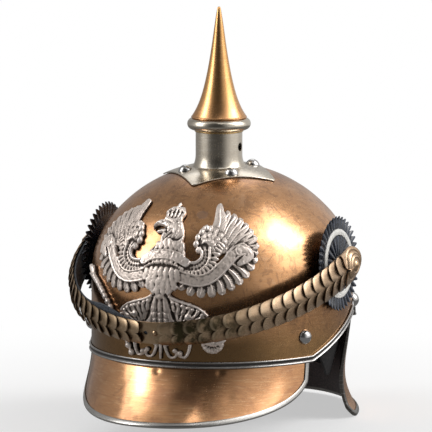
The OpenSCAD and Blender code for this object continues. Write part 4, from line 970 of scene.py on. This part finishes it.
def legs(s):
    """Thigh: rows of feathers below its beaded upper edge, drawn together at the ankle, then the claw."""
    top = through([(7.5, -91.5), (14, -94.5), (22, -97), (30, -100.2), (36, -105.5)], 56)
    ankle = np.array([17.5, -121.0])
    for row, (start, stop, w) in enumerate(((0.66, 0.08, 2.3), (0.84, 0.34, 2.5), (1.0, 0.58, 2.5))):
        for k in range(6):
            p = top[int(round((k + 0.5 * (row % 2)) / 5.6 * (len(top) - 1)))]
            p = p + (0.0, 0.7 * math.sin(2.3 * k + row))
            plume(s, ankle + start * (p - ankle), ankle + stop * (p - ankle), w, 1.2 + 0.45 * row,
                  2.4 + 0.5 * row, bow=1.2, barb=0.3, shaft=0.45, pitch=1.4, lean=0.45 * s)
    lay(flip(s, top[::8]), [1.3], 1.6, 3.9)
    beads(flip(s, top[8::8] + (-0.8, -2.6)), 8, 1.5, 4.3)
    bead(s * 22, -107, 2.9, 4.6, 2.2)
    stamp(flip(s, [(25, -112), (22.5, -116), (20.5, -120)]), [3.4, 2.6, 2.4], 1.0, 3.0, barb=0.4, slant=0,
          pitch=1.8)
    for tip in ((32, -123), (26, -127), (18.5, -127), (13.5, -121)):
        stamp(flip(s, [(21, -118), ((21 + tip[0]) / 2 + 1, (-118 + tip[1]) / 2 + 1.2), tip]),
              [1.8, 1.7, 1.4, 0.7], 1.0, 3.2)


def tail():
    """Tail feathers, and the scrolls beside them."""
    for s in (-1, 1):
        for tip, mid, w in (((15.5, -124), (12, -110), 3.0), ((10.5, -127), (8, -110), 3.0),
                            ((5, -129), (4, -110), 2.8)):
            stamp(flip(s, [(2.5, -93), mid, tip]), [2.2, 3.2, w, 0.8 * w], 0.9, 2.7, barb=0.3, shaft=0.4,
                  pitch=1.4)
        stamp(flip(s, [(6, -118), (17, -117), (23, -124), (22.5, -133), (19.5, -139), (15, -138.5)]),
              [1.4, 1.8, 1.9, 1.7, 1.5, 1.3], 0.9, 2.9)
        stamp(flip(s, [(2.5, -120), (3.5, -131), (7, -139), (11.5, -139.5), (13, -136)]),
              [1.3, 1.5, 1.5, 1.3, 1.2], 0.9, 2.8)
        bead(s * 15.4, -136.4, 2.5, 3.9)
        bead(s * 11.5, -134.6, 2.2, 3.8)
        lay(flip(s, [(8.2, -99.5), (10.2, -105), (12.6, -112)]), [0.3, 1.5, 1.9, 0.4], 0.35, 0.4)
    stamp([(0, -112), (0, -128), (0, -141)], [2.6, 2.4, 1.7, 0.9], 1.0, 3.0, shaft=0.4)
    for k, v in enumerate((-106, -101.5, -97)):
        for u in (-5.2, 5.2, 0):
            plume(1, (u * 0.5, v + 9), (u, v - 8), 2.6, 1.7 + 0.2 * k, 3.1 + 0.25 * k, bow=0.0, barb=0.3,
                  shaft=0.45)


def ruff(v0, v1, step, middles, halves, size):
    """Rows of small down-turned feathers, each row over the one below it."""
    v, row = v0, 0
    while v <= v1:
        half, mid = np.interp(-v, *halves), np.interp(-v, *middles)
        count = max(3, int(round(2 * half / size)))
        for k in range(count + row % 2):
            u = mid + (k + 0.5 - 0.5 * (row % 2) - count / 2) * 2 * half / count
            lift = 2.9 + 1.3 * math.sqrt(max(0.0, 1 - ((u - mid) / (half + 1.5)) ** 2))
            drift = 0.5 * math.sin(5 * u + 3 * v)
            leaf = through([(u, v + 1.6), (u + drift, v - 1.0), (u + drift, v - 3.6)])
            for k0, k1, rise, widths in ((0.0, 0.5, 0.0, (0.5, 0.5)), (0.3, 1.0, 0.6, (0.5, 0.58, 0.5, 0.2))):
                part = leaf[int(k0 * (len(leaf) - 1)):int(k1 * (len(leaf) - 1)) + 1]
                lay(part, np.array(widths) * size, lift - 0.45 + rise, lift + rise, power=0.35)
        v, row = v + step, row + 1


def breast():
    """Body, two fields of small feathers with a plain band between them, and the beads below."""
    stamp([(4.8, -44), (4.8, -50), (3.5, -57), (1, -64), (1, -74), (0.5, -88)],
          [8, 9.2, 12, 15.5, 16, 14.5, 12, 8], 1.2, 3.2, power=0.42)
    ruff(-86, -70, 3.3, ([42, 90], [1, 0.5]), ([66, 72, 80, 88], [15, 14.5, 12, 7.5]), 4.3)
    ruff(-63, -45, 3.0, ([44, 50, 57, 64], [4.6, 5.0, 3.8, 2]), ([44, 50, 56, 64], [7.6, 9, 11.5, 15.5]), 3.9)
    lay([(-15, -65.4), (-9, -61.8), (1, -60.2), (11, -61.4), (19.5, -65.2)], [3.3, 3.3, 3.4, 3.3, 3.3],
        4.6, 5.2, rim=0.7, power=0.2, grain=0.05)
    beads([(-13.5, -70.2), (-8, -67.3), (1, -66.0), (10, -67.0), (17, -69.8)], 15, 1.25, 4.9)
    for u, v in ((-8, -85.5), (-5, -84.2), (5, -84.2), (8, -85.5), (0, -84)):
        bead(u, v, 2.6 if u else 3.6, 4.0 if u else 4.8, 2)
    bead(0, -91, 4.2, 4.5, 1.4)


def head_and_crown():
    """Head turned to its right, with open beak and brow, under an arched crown."""
    lay([(8.4, -44.5), (5, -40.5), (-0.5, -40)], [6.2, 6.6, 5.6], 1.4, 3.9)
    for k in range(7):
        a = math.radians(60 - k * 26)
        p = np.array([3.6 + 6.0 * math.cos(a), -41.5 + 5.6 * math.sin(a)])
        way = np.array([math.cos(a - 1.0), math.sin(a - 1.0)])
        plume(1, p - way * 1.6, p + way * 2.6, 1.5, 3.0, 3.9, bow=0.3, shaft=0.3)
    for k in range(4):
        p = np.array([2.0 - 0.9 * k, -44.0 - 0.9 * k])
        plume(1, p + (0.8, 1.4), p - (1.6, 3.4), 1.3, 2.6, 3.8, bow=0.0, shaft=0.3)
    lay([(-3, -38.9), (-8, -37.9), (-12.8, -38.4), (-15.6, -40.4), (-16.2, -42.8)],
        [2.5, 2.4, 2.0, 1.3, 0.5], 1.6, 4.1)
    lay([(-3.4, -43.2), (-8, -43.6), (-11.8, -44.6)], [1.7, 1.5, 0.7], 1.1, 3.1)
    lay([(-7, -41.3), (-12.4, -41.6)], [0.6, 0.5], 0.5, 0.45)
    lay([(-9.2, -37.9), (-7.6, -38.2)], [0.5], 2.6, 2.2)
    lay([(-4.6, -38.0), (-1, -37.0), (3.4, -37.6)], [0.8, 1.0, 0.7], 4.0, 4.9)
    bead(-1.4, -39.6, 1.9, 2.9, 2.6)
    bead(-1.4, -39.6, 1.2, 4.6, 3.2)
    lay([(-4.4, -30.8), (5.6, -30.8)], [4.6, 5.2, 4.6], 1.1, 2.5)
    for side in (-1, 1):
        for out in (6.9, 3.3):
            arch = [(0.6 + side * out, -34.6), (0.6 + side * (out * 1.36), -31.0),
                    (0.6 + side * out * 0.75, -28.4), (0.6, -28.2)]
            lay(arch, [1.1, 1.25, 1.1, 0.9], 2.0, 3.6)
            beads(arch[:3], 5, 0.95, 4.1)
    lay([(0.6, -34.6), (0.6, -28)], [1.1], 2.0, 3.8)
    for u in (-6.8, -3.1, 0.6, 4.3, 8.0):
        plume(1, (u, -35.0), (u * 1.06, -31.4), 1.45, 2.8, 4.0, bow=0.0)
    lay([(-7.0, -35.4), (0.6, -36.7), (8.2, -35.2)], [1.45], 2.2, 4.2, rim=0.4, power=0.3)
    beads([(-6.2, -35.5), (0.6, -36.6), (7.4, -35.3)], 8, 0.75, 4.7)
    bead(0.5, -27.0, 1.7, 4.1, 1.4)
    stamp([(0.5, -26.0), (0.5, -24.4)], [0.8, 0.9], 1.2, 3.1)
    stamp([(-0.9, -25.1), (1.9, -25.1)], [0.75], 1.2, 3.1)


def sceptre_and_orb():
    rod = [(-26, -138.5), (-39, -118.5), (-54, -101.5), (-67, -90.5), (-78, -85)]
    stamp(rod, [1.7], 1.0, 2.4)
    beads(rod, 17, 2.7, 3.9)
    for tip in ((-89, -78), (-86.5, -84), (-82.5, -78)):
        stamp([(-78, -85.2), ((-78 + tip[0]) / 2 - 0.5, (-85.2 + tip[1]) / 2), tip], [1.6, 2.4, 2.5, 1.4],
              1.0, 3.3, shaft=0.4)
    bead(-79, -84.6, 3.3, 3.9)
    bead(40, -127.5, 8.8, 3.6, 0.9)
    for k in range(7):
        a = math.radians(190 + k * 26.5)
        way = np.array([math.cos(a), math.sin(a)])
        plume(1, np.array([40, -127.5]) + way * 2, np.array([40, -127.5]) + way * 8.6, 2.2, 2.2, 3.5,
              bow=0.0, shaft=0.4)
    lay([(31.6, -125.5), (40, -128), (48.4, -125)], [1.8], 3.0, 4.5, rim=0.4)
    beads([(32.6, -125.9), (40, -128), (47.4, -125.4)], 8, 0.9, 5.0)
    lay([(40.2, -127), (40, -119.5)], [1.5], 3.0, 4.5)
    stamp([(39.8, -119), (39.6, -112.6)], [1.0, 1.6], 1.0, 3.3)
    stamp([(36.8, -115.4), (42.6, -115.6)], [1.6, 1.0, 1.6], 1.0, 3.3)


def blurred(field, size):
    for axis in (0, 1) * 3:
        field = sum(np.roll(field, k, axis) for k in range(-size, size + 1)) / (2 * size + 1)
    return field


stipple = blurred(np.random.default_rng(7).standard_normal(GU.shape), 1)
stipple /= stipple.std()
tail()
sceptre_and_orb()
for part in (legs, wing):
    part(-1)
    part(1)
breast()
head_and_crown()


def make_eagle():
    """The stamped plate: every cell of the relief that has metal, with its edges eased."""
    solid = height > 0.05
    raised = blurred(height, 1) * 0.5 + height * 0.5 + 0.035 * stipple * solid
    low, wide = (blurred(np.where(solid, raised, 0.6), size) for size in (3, 8))
    hollow = 0.5 + (low - raised) * 0.34 + (wide - raised) * 0.08
    keep = solid[:-1, :-1] & solid[1:, :-1] & solid[:-1, 1:] & solid[1:, 1:]
    rows, cols = np.nonzero(keep)
    n = GU.shape[1]
    corner = rows * n + cols
    quads = np.stack([corner, corner + 1, corner + n + 1, corner + n], -1)
    used = np.unique(quads)
    number = np.full(GU.size, -1)
    number[used] = np.arange(len(used))
    quads = number[quads]
    uv = np.stack([GU.ravel()[used], GV.ravel()[used]], -1)
    edges = np.concatenate([quads[:, [k, (k + 1) % 4]] for k in range(4)])
    keys = edges.min(1) * len(used) + edges.max(1)
    _, first, count = np.unique(keys, return_index=True, return_counts=True)
    border = edges[first[count == 1]]
    for _ in range(5):
        total, links = np.zeros_like(uv), np.zeros(len(uv))
        for a, b in ((0, 1), (1, 0)):
            np.add.at(total, border[:, a], uv[border[:, b]])
            np.add.at(links, border[:, a], 1)
        on = links > 0
        uv[on] = 0.5 * uv[on] + 0.5 * total[on] / links[on][:, None]
    h = raised.ravel()[used]
    h[on] = np.minimum(h[on], THIN_EDGE)
    az = np.degrees(uv[:, 0] / UNROLL)
    form = np.concatenate([on_skull(az, uv[:, 1], BACK + h), on_skull(az, uv[:, 1], BACK + 0.02)])
    m = len(used)
    faces = quads.tolist() + (quads[:, ::-1] + m).tolist()
    faces += np.stack([border[:, 0], border[:, 1], border[:, 1] + m, border[:, 0] + m], -1).tolist()
    tone = np.clip(hollow.ravel()[used], 0, 1)
    tone[on] = np.maximum(tone[on], 0.52)
    piece("stamped_eagle", (form, faces), silver, "front_plate", 70,
          marks={"hollow": np.append(tone, np.ones(m))})


make_eagle()


# ---------------------------------------- chin strap
STRAP_A, STRAP_B = 112.0, 136.0
theta = np.arange(0, 91)
arc = xyz(STRAP_A * sind(theta), -STRAP_B * cosd(theta))
run = np.append(0, np.cumsum(np.linalg.norm(np.diff(arc, axis=0), axis=1)))
STRAP_LEN, SCALES, CLASP = run[-1], 17, 11
PITCH = (STRAP_LEN - 2 * CLASP) / SCALES
TILT, CURL = 18.8, 4.5
ARCH = 1.05  # radius of a scale's arched section, in widths
BOSS_W, BOSS_AHEAD, BOSS_R, KNOB_R = 29.0, 15.0, 11.2, 4.4


def strap_width(s):
    return 19 + 10 * s / STRAP_LEN


def arched(across, w):
    return np.sqrt((ARCH * w) ** 2 - across ** 2) - math.sqrt((ARCH * w) ** 2 - (w / 2) ** 2)


def strap_frame(s):
    """Middle of the strap's outer face and its outward normal, in the strap's own plane."""
    th = np.interp(s, run, theta)
    return xyz(STRAP_A * sind(th), -STRAP_B * cosd(th)), unit(xyz(sind(th) / STRAP_A, -cosd(th) / STRAP_B))


def tilted(flat, across, side):
    """Point in the strap's plane and distance across it to millimetres below the crown."""
    x, y = flat[..., 0], flat[..., 1]
    c, s = cosd(TILT), sind(TILT)
    return xyz(x * side, y * c - across * s, y * s + across * c) + HINGE


def on_strap(x, y, z, s, side, h):
    """Points drawn with x outwards, -y to the front and z across, set h off the strap at s."""
    p, n = strap_frame(s)
    return tilted(p + (h + x)[..., None] * n + y[..., None] * np.array([-n[1], n[0]]), z, side)


def make_scales(side, label):
    """Shingled scales, each with two lobes on its free edge."""
    parts, marks, rubbed = [], [], []
    for k in range(SCALES):
        s = CLASP + (k + 0.72) * PITCH
        w = strap_width(s)
        lobe, back = w / 4, 3.0
        c, v = np.meshgrid(np.linspace(-1, 1, 49) * w / 2, np.linspace(0, 1, 15))
        tip = lobe - PITCH - 2 - np.sqrt(np.maximum(0, lobe ** 2 - (np.abs(c) - lobe) ** 2)) * 0.96
        y = back + v * (tip - back)
        swell = 0.55 * smooth((v - 0.35) / 0.5) * np.clip(1 - ((np.abs(c) - lobe) / lobe) ** 2, 0, 1)
        x = arched(c, w) + swell + 0.04 * sines(c, y + 9 * k, k, 2.3)
        x, y = x * cosd(CURL) - y * sind(CURL), x * sind(CURL) + y * cosd(CURL)
        wobble = 0.06 * math.sin(k * 2.7 + side)
        parts.append(shell(on_strap(x + 0.55, y, c, s, side, 0.3 + wobble), on_strap(x, y, c, s, side, 0.3)))
        shade = 0.85 * bell(v, 0.30) + 0.35 * bell(1 - v, 0.05) + 0.25 * (np.abs(c) > 0.47 * w)
        shade = np.clip(shade, 0, 1).ravel()
        marks += [shade, np.clip(shade + 0.6, 0, 1)]
        rubbed += [bell(0.9 - v, 0.08).ravel(), np.zeros(v.size)]
    piece("chin_scales_" + label, joined(*parts), scale_brass, "scales_" + label, 42, "chinscale",
          {"hollow": np.concatenate(marks), "rubbed": np.concatenate(rubbed)})


def make_strap(side, label):
    """Leather under the scales, thicker in the middle and rounded round the pin."""
    s = np.append(np.linspace(0.6, STRAP_LEN, 120), STRAP_LEN + 12.7 * np.sin(np.linspace(0.12, 1.5, 14)))
    s, c = np.meshgrid(s, np.linspace(-1, 1, 21), indexing="ij")
    beyond = np.maximum(0, s - STRAP_LEN)
    half = 0.44 * strap_width(s - beyond) * np.sqrt(np.clip(1 - (beyond / 12.76) ** 2, 0.0004, 1))
    p, n = strap_frame(s - beyond)
    p = p + beyond[..., None] * np.array([0.0, 1.0])
    edge = 0.28 * np.abs(c) ** 10
    # The leather shows above the scales where the far half nears the clasp
    slipped = 6.0 * bell(s - 46, 20) * (side < 0)
    across = c * half + slipped * smooth(c)
    depths = (-0.05 - edge, -1.9 + edge + 0.06 * sines(s, c * 8, 11, 4))
    outer, inner = (tilted(p + h[..., None] * n, across, side) for h in depths)
    piece("strap_leather_" + label, shell(outer, inner), strap_leather, "strap_" + label, 50, "chinscale")


def make_boss(side, label):
    """Round-backed end plate with nested ridges round a domed boss."""
    w, lobe = BOSS_W, BOSS_W / 4
    r, a = np.meshgrid(np.linspace(0.02, 1, 40), circle(144), indexing="ij")
    dy, dz = np.cos(a), np.sin(a)
    side_hit = (w / 2) / np.maximum(np.abs(dz), 1e-6)
    far = np.minimum(side_hit, BOSS_AHEAD / np.maximum(-dy, 1e-6))
    for _ in range(6):
        z = np.clip(np.abs(dz * far), 0, w / 2)
        tip = BOSS_AHEAD - lobe + np.sqrt(np.maximum(0, lobe ** 2 - (z - lobe) ** 2))
        far = np.minimum(side_hit, tip / np.maximum(-dy, 1e-6))
    reach = np.where(dy < 0, far, w / 2)
    y, z = dy * r * reach, dz * r * reach
    rise, out = arched(z, w), np.hypot(y, z)
    boss = 2.35 * np.sqrt(np.clip(1 - (out / BOSS_R) ** 2, 0, 1)) ** 0.8
    knob = 0.55 * np.sqrt(np.clip(1 - (out / KNOB_R) ** 2, 0, 1))
    ridges = sum(0.42 * bell(out - at, 0.6) - 0.2 * bell(out - at + 1.1, 0.5) for at in (6.6, 9.6, 12.6))
    x = rise + 0.6 + ridges + 0.3 * bell(1 - r, 0.03) + boss * (1 + 0.25 * (1 - rise / rise.max())) + knob
    m, n = r.shape
    k = m * n
    faces = grid_faces(m, n, True) + grid_faces(m, n, True, start=k)
    last = list(range(k - n, k))
    faces += [[i, j, k + j, k + i] for i, j in zip(last, last[1:] + last[:1])]
    faces += [list(range(n)), list(range(k, k + n))]
    points = [on_strap(h, y, z, STRAP_LEN, side, 1.0).reshape(-1, 3) for h in (x, rise + 0.02)]
    shade = sum(0.8 * bell(out - at + 1.15, 0.45) for at in (5.6, 6.6, 9.6, 12.6))
    piece("boss_plate_" + label, (np.concatenate(points), faces), scale_brass, "end_boss_" + label, 40,
          "chinscale", {"hollow": np.append(np.clip(shade, 0, 1), np.full(k, 0.8))})


# ---------------------------------------- cockades
LEAN, COCKADE_X, RING_LOW = 3.5, 102.487, 0.9


def on_side(points, side):
    """Points drawn with z outwards from the bowl, x down and y to the back, set on the pivot."""
    x, y, z = np.moveaxis(points, -1, 0)
    c, s = cosd(LEAN), sind(LEAN)
    return xyz((x * s + z * c + COCKADE_X) * side, y + HINGE[1], z * s - x * c + HINGE[2])


def pleats(side, t, r, z, low):
    """Pleated sheet between two heights, and the mark of its ridges; t is 1 on a ridge."""
    a = circle(len(t))
    sheets = [on_side(xyz(r * np.cos(a), r * np.sin(a), h), side) for h in (z, low)]
    ridge = np.broadcast_to(t ** 3, sheets[0].shape[:2]).ravel()
    return shell(*sheets, True), np.append(ridge, 0 * ridge)


def make_cockade(side, label, paint):
    """Toothed and pleated rim, smooth painted ring, pleated centre."""
    q, t = np.linspace(0, 1, 16)[:, None], 0.5 + 0.5 * np.cos(40 * circle(480))
    blunt = 1 - t ** 0.7
    r = 26.6 + 11.1 * q - 3.4 * blunt * smooth((q - 0.66) / 0.34)
    z = 0.85 - 0.4 * q * blunt + 1.45 * (1 - blunt) * (0.2 + 0.8 * q) - 0.2 * q * q
    teeth, ridge = pleats(side, t, r, z, np.maximum(0.02, z - 0.85))
    disc = on_side(spun([(3.3, 0.02), (27.6, 0.02), (27.6, 0.8), (3.3, 0.8)], 96), side).reshape(-1, 3)
    piece("cockade_teeth_" + label, joined(teeth, (disc, grid_faces(4, 96, True, True))), black_lacquer,
          "cockade_rim_" + label, 55, marks={"ridge": np.append(ridge, np.zeros(len(disc)))})
    band = [(22.7, 0.02), (27.5, 0.02), (27.5, 1.3), (25.1, 1.72), (22.7, 1.3), (22.7, 0.02)]
    band = rounded([(b, h + RING_LOW) for b, h in band], 5, 0.6)[:-1]
    ring = on_side(spun(band, 144), side).reshape(-1, 3)
    piece("cockade_band_" + label, (ring, grid_faces(len(band), 144, True, True)), white_lacquer,
          "cockade_ring_" + label, 50, marks={"ridge": np.zeros(len(ring))})
    q, t = np.linspace(0, 1, 10)[:, None], 0.5 + 0.5 * np.cos(18 * circle(480))
    z = RING_LOW + 0.5 + 0.95 * t ** 0.8 * (0.2 + 0.8 * q)
    middle, ridge = pleats(side, t, 5.3 + 17.0 * q, z, RING_LOW + 0.02)
    piece("cockade_middle_" + label, middle, paint, "cockade_centre_" + label, 55, marks={"ridge": ridge})


for hand, label in ((1, "left"), (-1, "right")):
    make_scales(hand, label)
    make_strap(hand, label)
    make_boss(hand, label)
make_cockade(1, "left", black_lacquer)
make_cockade(-1, "right", red_lacquer)

# ---------------------------------------- small CAD pieces keep their shape
KEPT = {
    steel: ["shell_rivet_washers", "front_plate_posts", "front_plate_nuts", "neck_nuts", "boss_nut_left",
            "boss_nut_right", "spike_stud"],
    boss_brass: ["boss_spacer_left", "boss_spacer_right", "boss_screw_left", "boss_screw_right"],
    clasp_brass: ["clasp_plate", "clasp_stud"],
}
for finish, names in KEPT.items():
    for name in names:
        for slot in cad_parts[name].material_slots:
            slot.material = finish


# ---------------------------------------- stage, light and camera
def make_stage():
    """Pale table: it keeps a lightened shadow near the helmet and fades to plain white glow farther out."""
    f = Finish("pale floor", (0.93, 0.93, 0.93))
    f.done(metal=0.0, rough=0.9, specular=0.1)
    x, y, surface = f.axis("X"), f.axis("Y"), Wire(f, f.shader.outputs[0])
    out = (x * x + y * y).root()

    def ray(kind):
        return f.node("ShaderNodeLightPath", {}, {}, kind)

    def glow(level):
        return f.node("ShaderNodeEmission", {}, {"Color": (1.0, 1.0, 1.0), "Strength": level})

    def either(part, first, last):
        return f.node("ShaderNodeMixShader", {}, {0: part, 1: first, 2: last})

    # Near the helmet the table is about half lit surface and half white glow, which lightens its shadow;
    # farther out it is all glow
    table = either(out.between(0.15, 0.5, 0.52, 1.0), surface, glow(1.0))
    # Polished metal sees a dim grey glow in place of the table near the helmet, and the room through it farther
    # out
    polished = either(out.between(0.8, 1.5), glow(0.2), f.node("ShaderNodeBsdfTransparent", {}, {}))
    seen = either(ray("Is Camera Ray"), surface, table)
    f.feed(f.tree.nodes["Material Output"].inputs["Surface"], either(ray("Is Glossy Ray"), seen, polished))
    mesh = bpy.data.meshes.new("floor")
    mesh.from_pydata([(-60, -60, 0), (60, -60, 0), (60, 60, 0), (-60, 60, 0)], [], [(0, 1, 2, 3)])
    mesh.materials.append(f.owner)
    floor = added("floor", mesh)


def heading(az, el):
    """Unit vector from the helmet, by azimuth from its front and by elevation."""
    a, e = math.radians(az), math.radians(el)
    return Vector((math.sin(a) * math.cos(e), -math.cos(a) * math.cos(e), math.sin(e)))


# How bright the room looks in polished metal, by azimuth: dark towards the camera's side
ROOM = [(-180, 0.62), (-150, 0.42), (-122, 0.30), (-88, 0.38), (-62, 0.72), (-40, 0.74), (-26, 0.24),
        (-10, 0.08), (12, 0.05), (38, 0.06), (52, 0.30), (68, 0.66), (90, 0.95), (118, 1.0), (146, 0.62),
        (180, 0.62)]
# Soft boxes: azimuth, elevation, distance, width, height, brightness, roll
BOXES = {"box_left": (-57, 29, 2.0, 1.05, 2.1, 1.6, 22), "core_left": (-55, 31, 1.9, 0.36, 1.25, 5.0, 22),
         "box_right": (110, 38, 2.0, 1.7, 2.0, 1.45, 0), "core_right": (112, 42, 1.9, 0.8, 0.9, 5.0, 0),
         "box_top": (40, 68, 2.0, 0.5, 0.34, 1.7, 0), "box_back": (-157, 44, 2.2, 1.0, 0.9, 1.2, 0)}
AIM_HEIGHT, ROOM_DIFFUSE, ROOM_OVERHEAD = 0.16, 0.26, 0.32


def make_light():
    """A room that metal sees as ROOM says and the rest sees as plain, and the soft boxes."""
    world = bpy.data.worlds.new("studio")
    bpy.context.scene.world = world
    t = Tree(world)
    t.tree.nodes.clear()
    where = t.node("ShaderNodeTexCoord", {}, {}, "Generated")
    x, y, z = (t.node("ShaderNodeSeparateXYZ", {}, {0: where}, k) for k in range(3))
    angle = x.calc("ARCTAN2", x, y * -1.0)
    ramp = t.tree.nodes.new("ShaderNodeValToRGB")
    ramp.color_ramp.interpolation = "EASE"
    while len(ramp.color_ramp.elements) < len(ROOM):
        ramp.color_ramp.elements.new(0.5)
    for element, (az, level) in zip(ramp.color_ramp.elements, ROOM):
        element.position, element.color = az / 360 + 0.5, (level, level, level, 1)
    t.feed(ramp.inputs[0], angle.calc("DIVIDE", angle, 2 * math.pi) + 0.5)
    camera, glossy, passing = (t.node("ShaderNodeLightPath", {}, {}, k) for k in
                               ("Is Camera Ray", "Is Glossy Ray", "Is Transmission Ray"))
    mirrored = t.blend(z.between(0.86, 1.0), Wire(t, ramp.outputs[0]), ROOM_OVERHEAD)
    level = t.blend(glossy.calc("MAXIMUM", glossy, passing), ROOM_DIFFUSE, mirrored)
    strength = t.blend(camera, level, 1.0)
    back = t.node("ShaderNodeBackground", {}, {"Color": (1.0, 1.0, 1.0), "Strength": strength})
    t.feed(t.tree.nodes.new("ShaderNodeOutputWorld").inputs["Surface"], back)
    for name, (az, el, distance, width, tall, level, roll) in BOXES.items():
        lamp = bpy.data.lights.new(name, "AREA")
        lamp.shape, lamp.size, lamp.size_y = "RECTANGLE", width, tall
        lamp.energy = math.pi * width * tall * level
        item = added(name, lamp)
        item.location = heading(az, el) * distance + Vector((0, 0, AIM_HEIGHT))
        aim = (-heading(az, el)).to_track_quat("-Z", "Y")
        item.rotation_euler = (aim @ Quaternion((0, 0, 1), math.radians(roll))).to_euler()


# The photograph's view: angles, a distance that flattens it, pixels per millimetre and its width
VIEW_AZ, VIEW_EL, VIEW_AWAY, VIEW_SCALE, PICTURE, SENSOR = 25.0, 8.0, 5000.0, 1.25, 432, 36


def make_camera():
    right = np.array([cosd(VIEW_AZ), sind(VIEW_AZ), 0])
    aim = np.array([0, 0, -41.8]) - 2.4 * right
    way = np.array(heading(VIEW_AZ, VIEW_EL))
    camera = bpy.data.cameras.new("camera")
    camera.lens, camera.sensor_width = VIEW_SCALE * VIEW_AWAY / PICTURE * SENSOR, SENSOR
    camera.clip_start, camera.clip_end = 0.1, 200
    item = added("camera", camera)
    item.location = Vector(place(aim + way * VIEW_AWAY))
    item.rotation_euler = Vector(-way).to_track_quat("-Z", "Y").to_euler()
    bpy.context.scene.camera = item


make_stage()
make_light()
make_camera()
bpy.context.scene.view_settings.view_transform = "Standard"
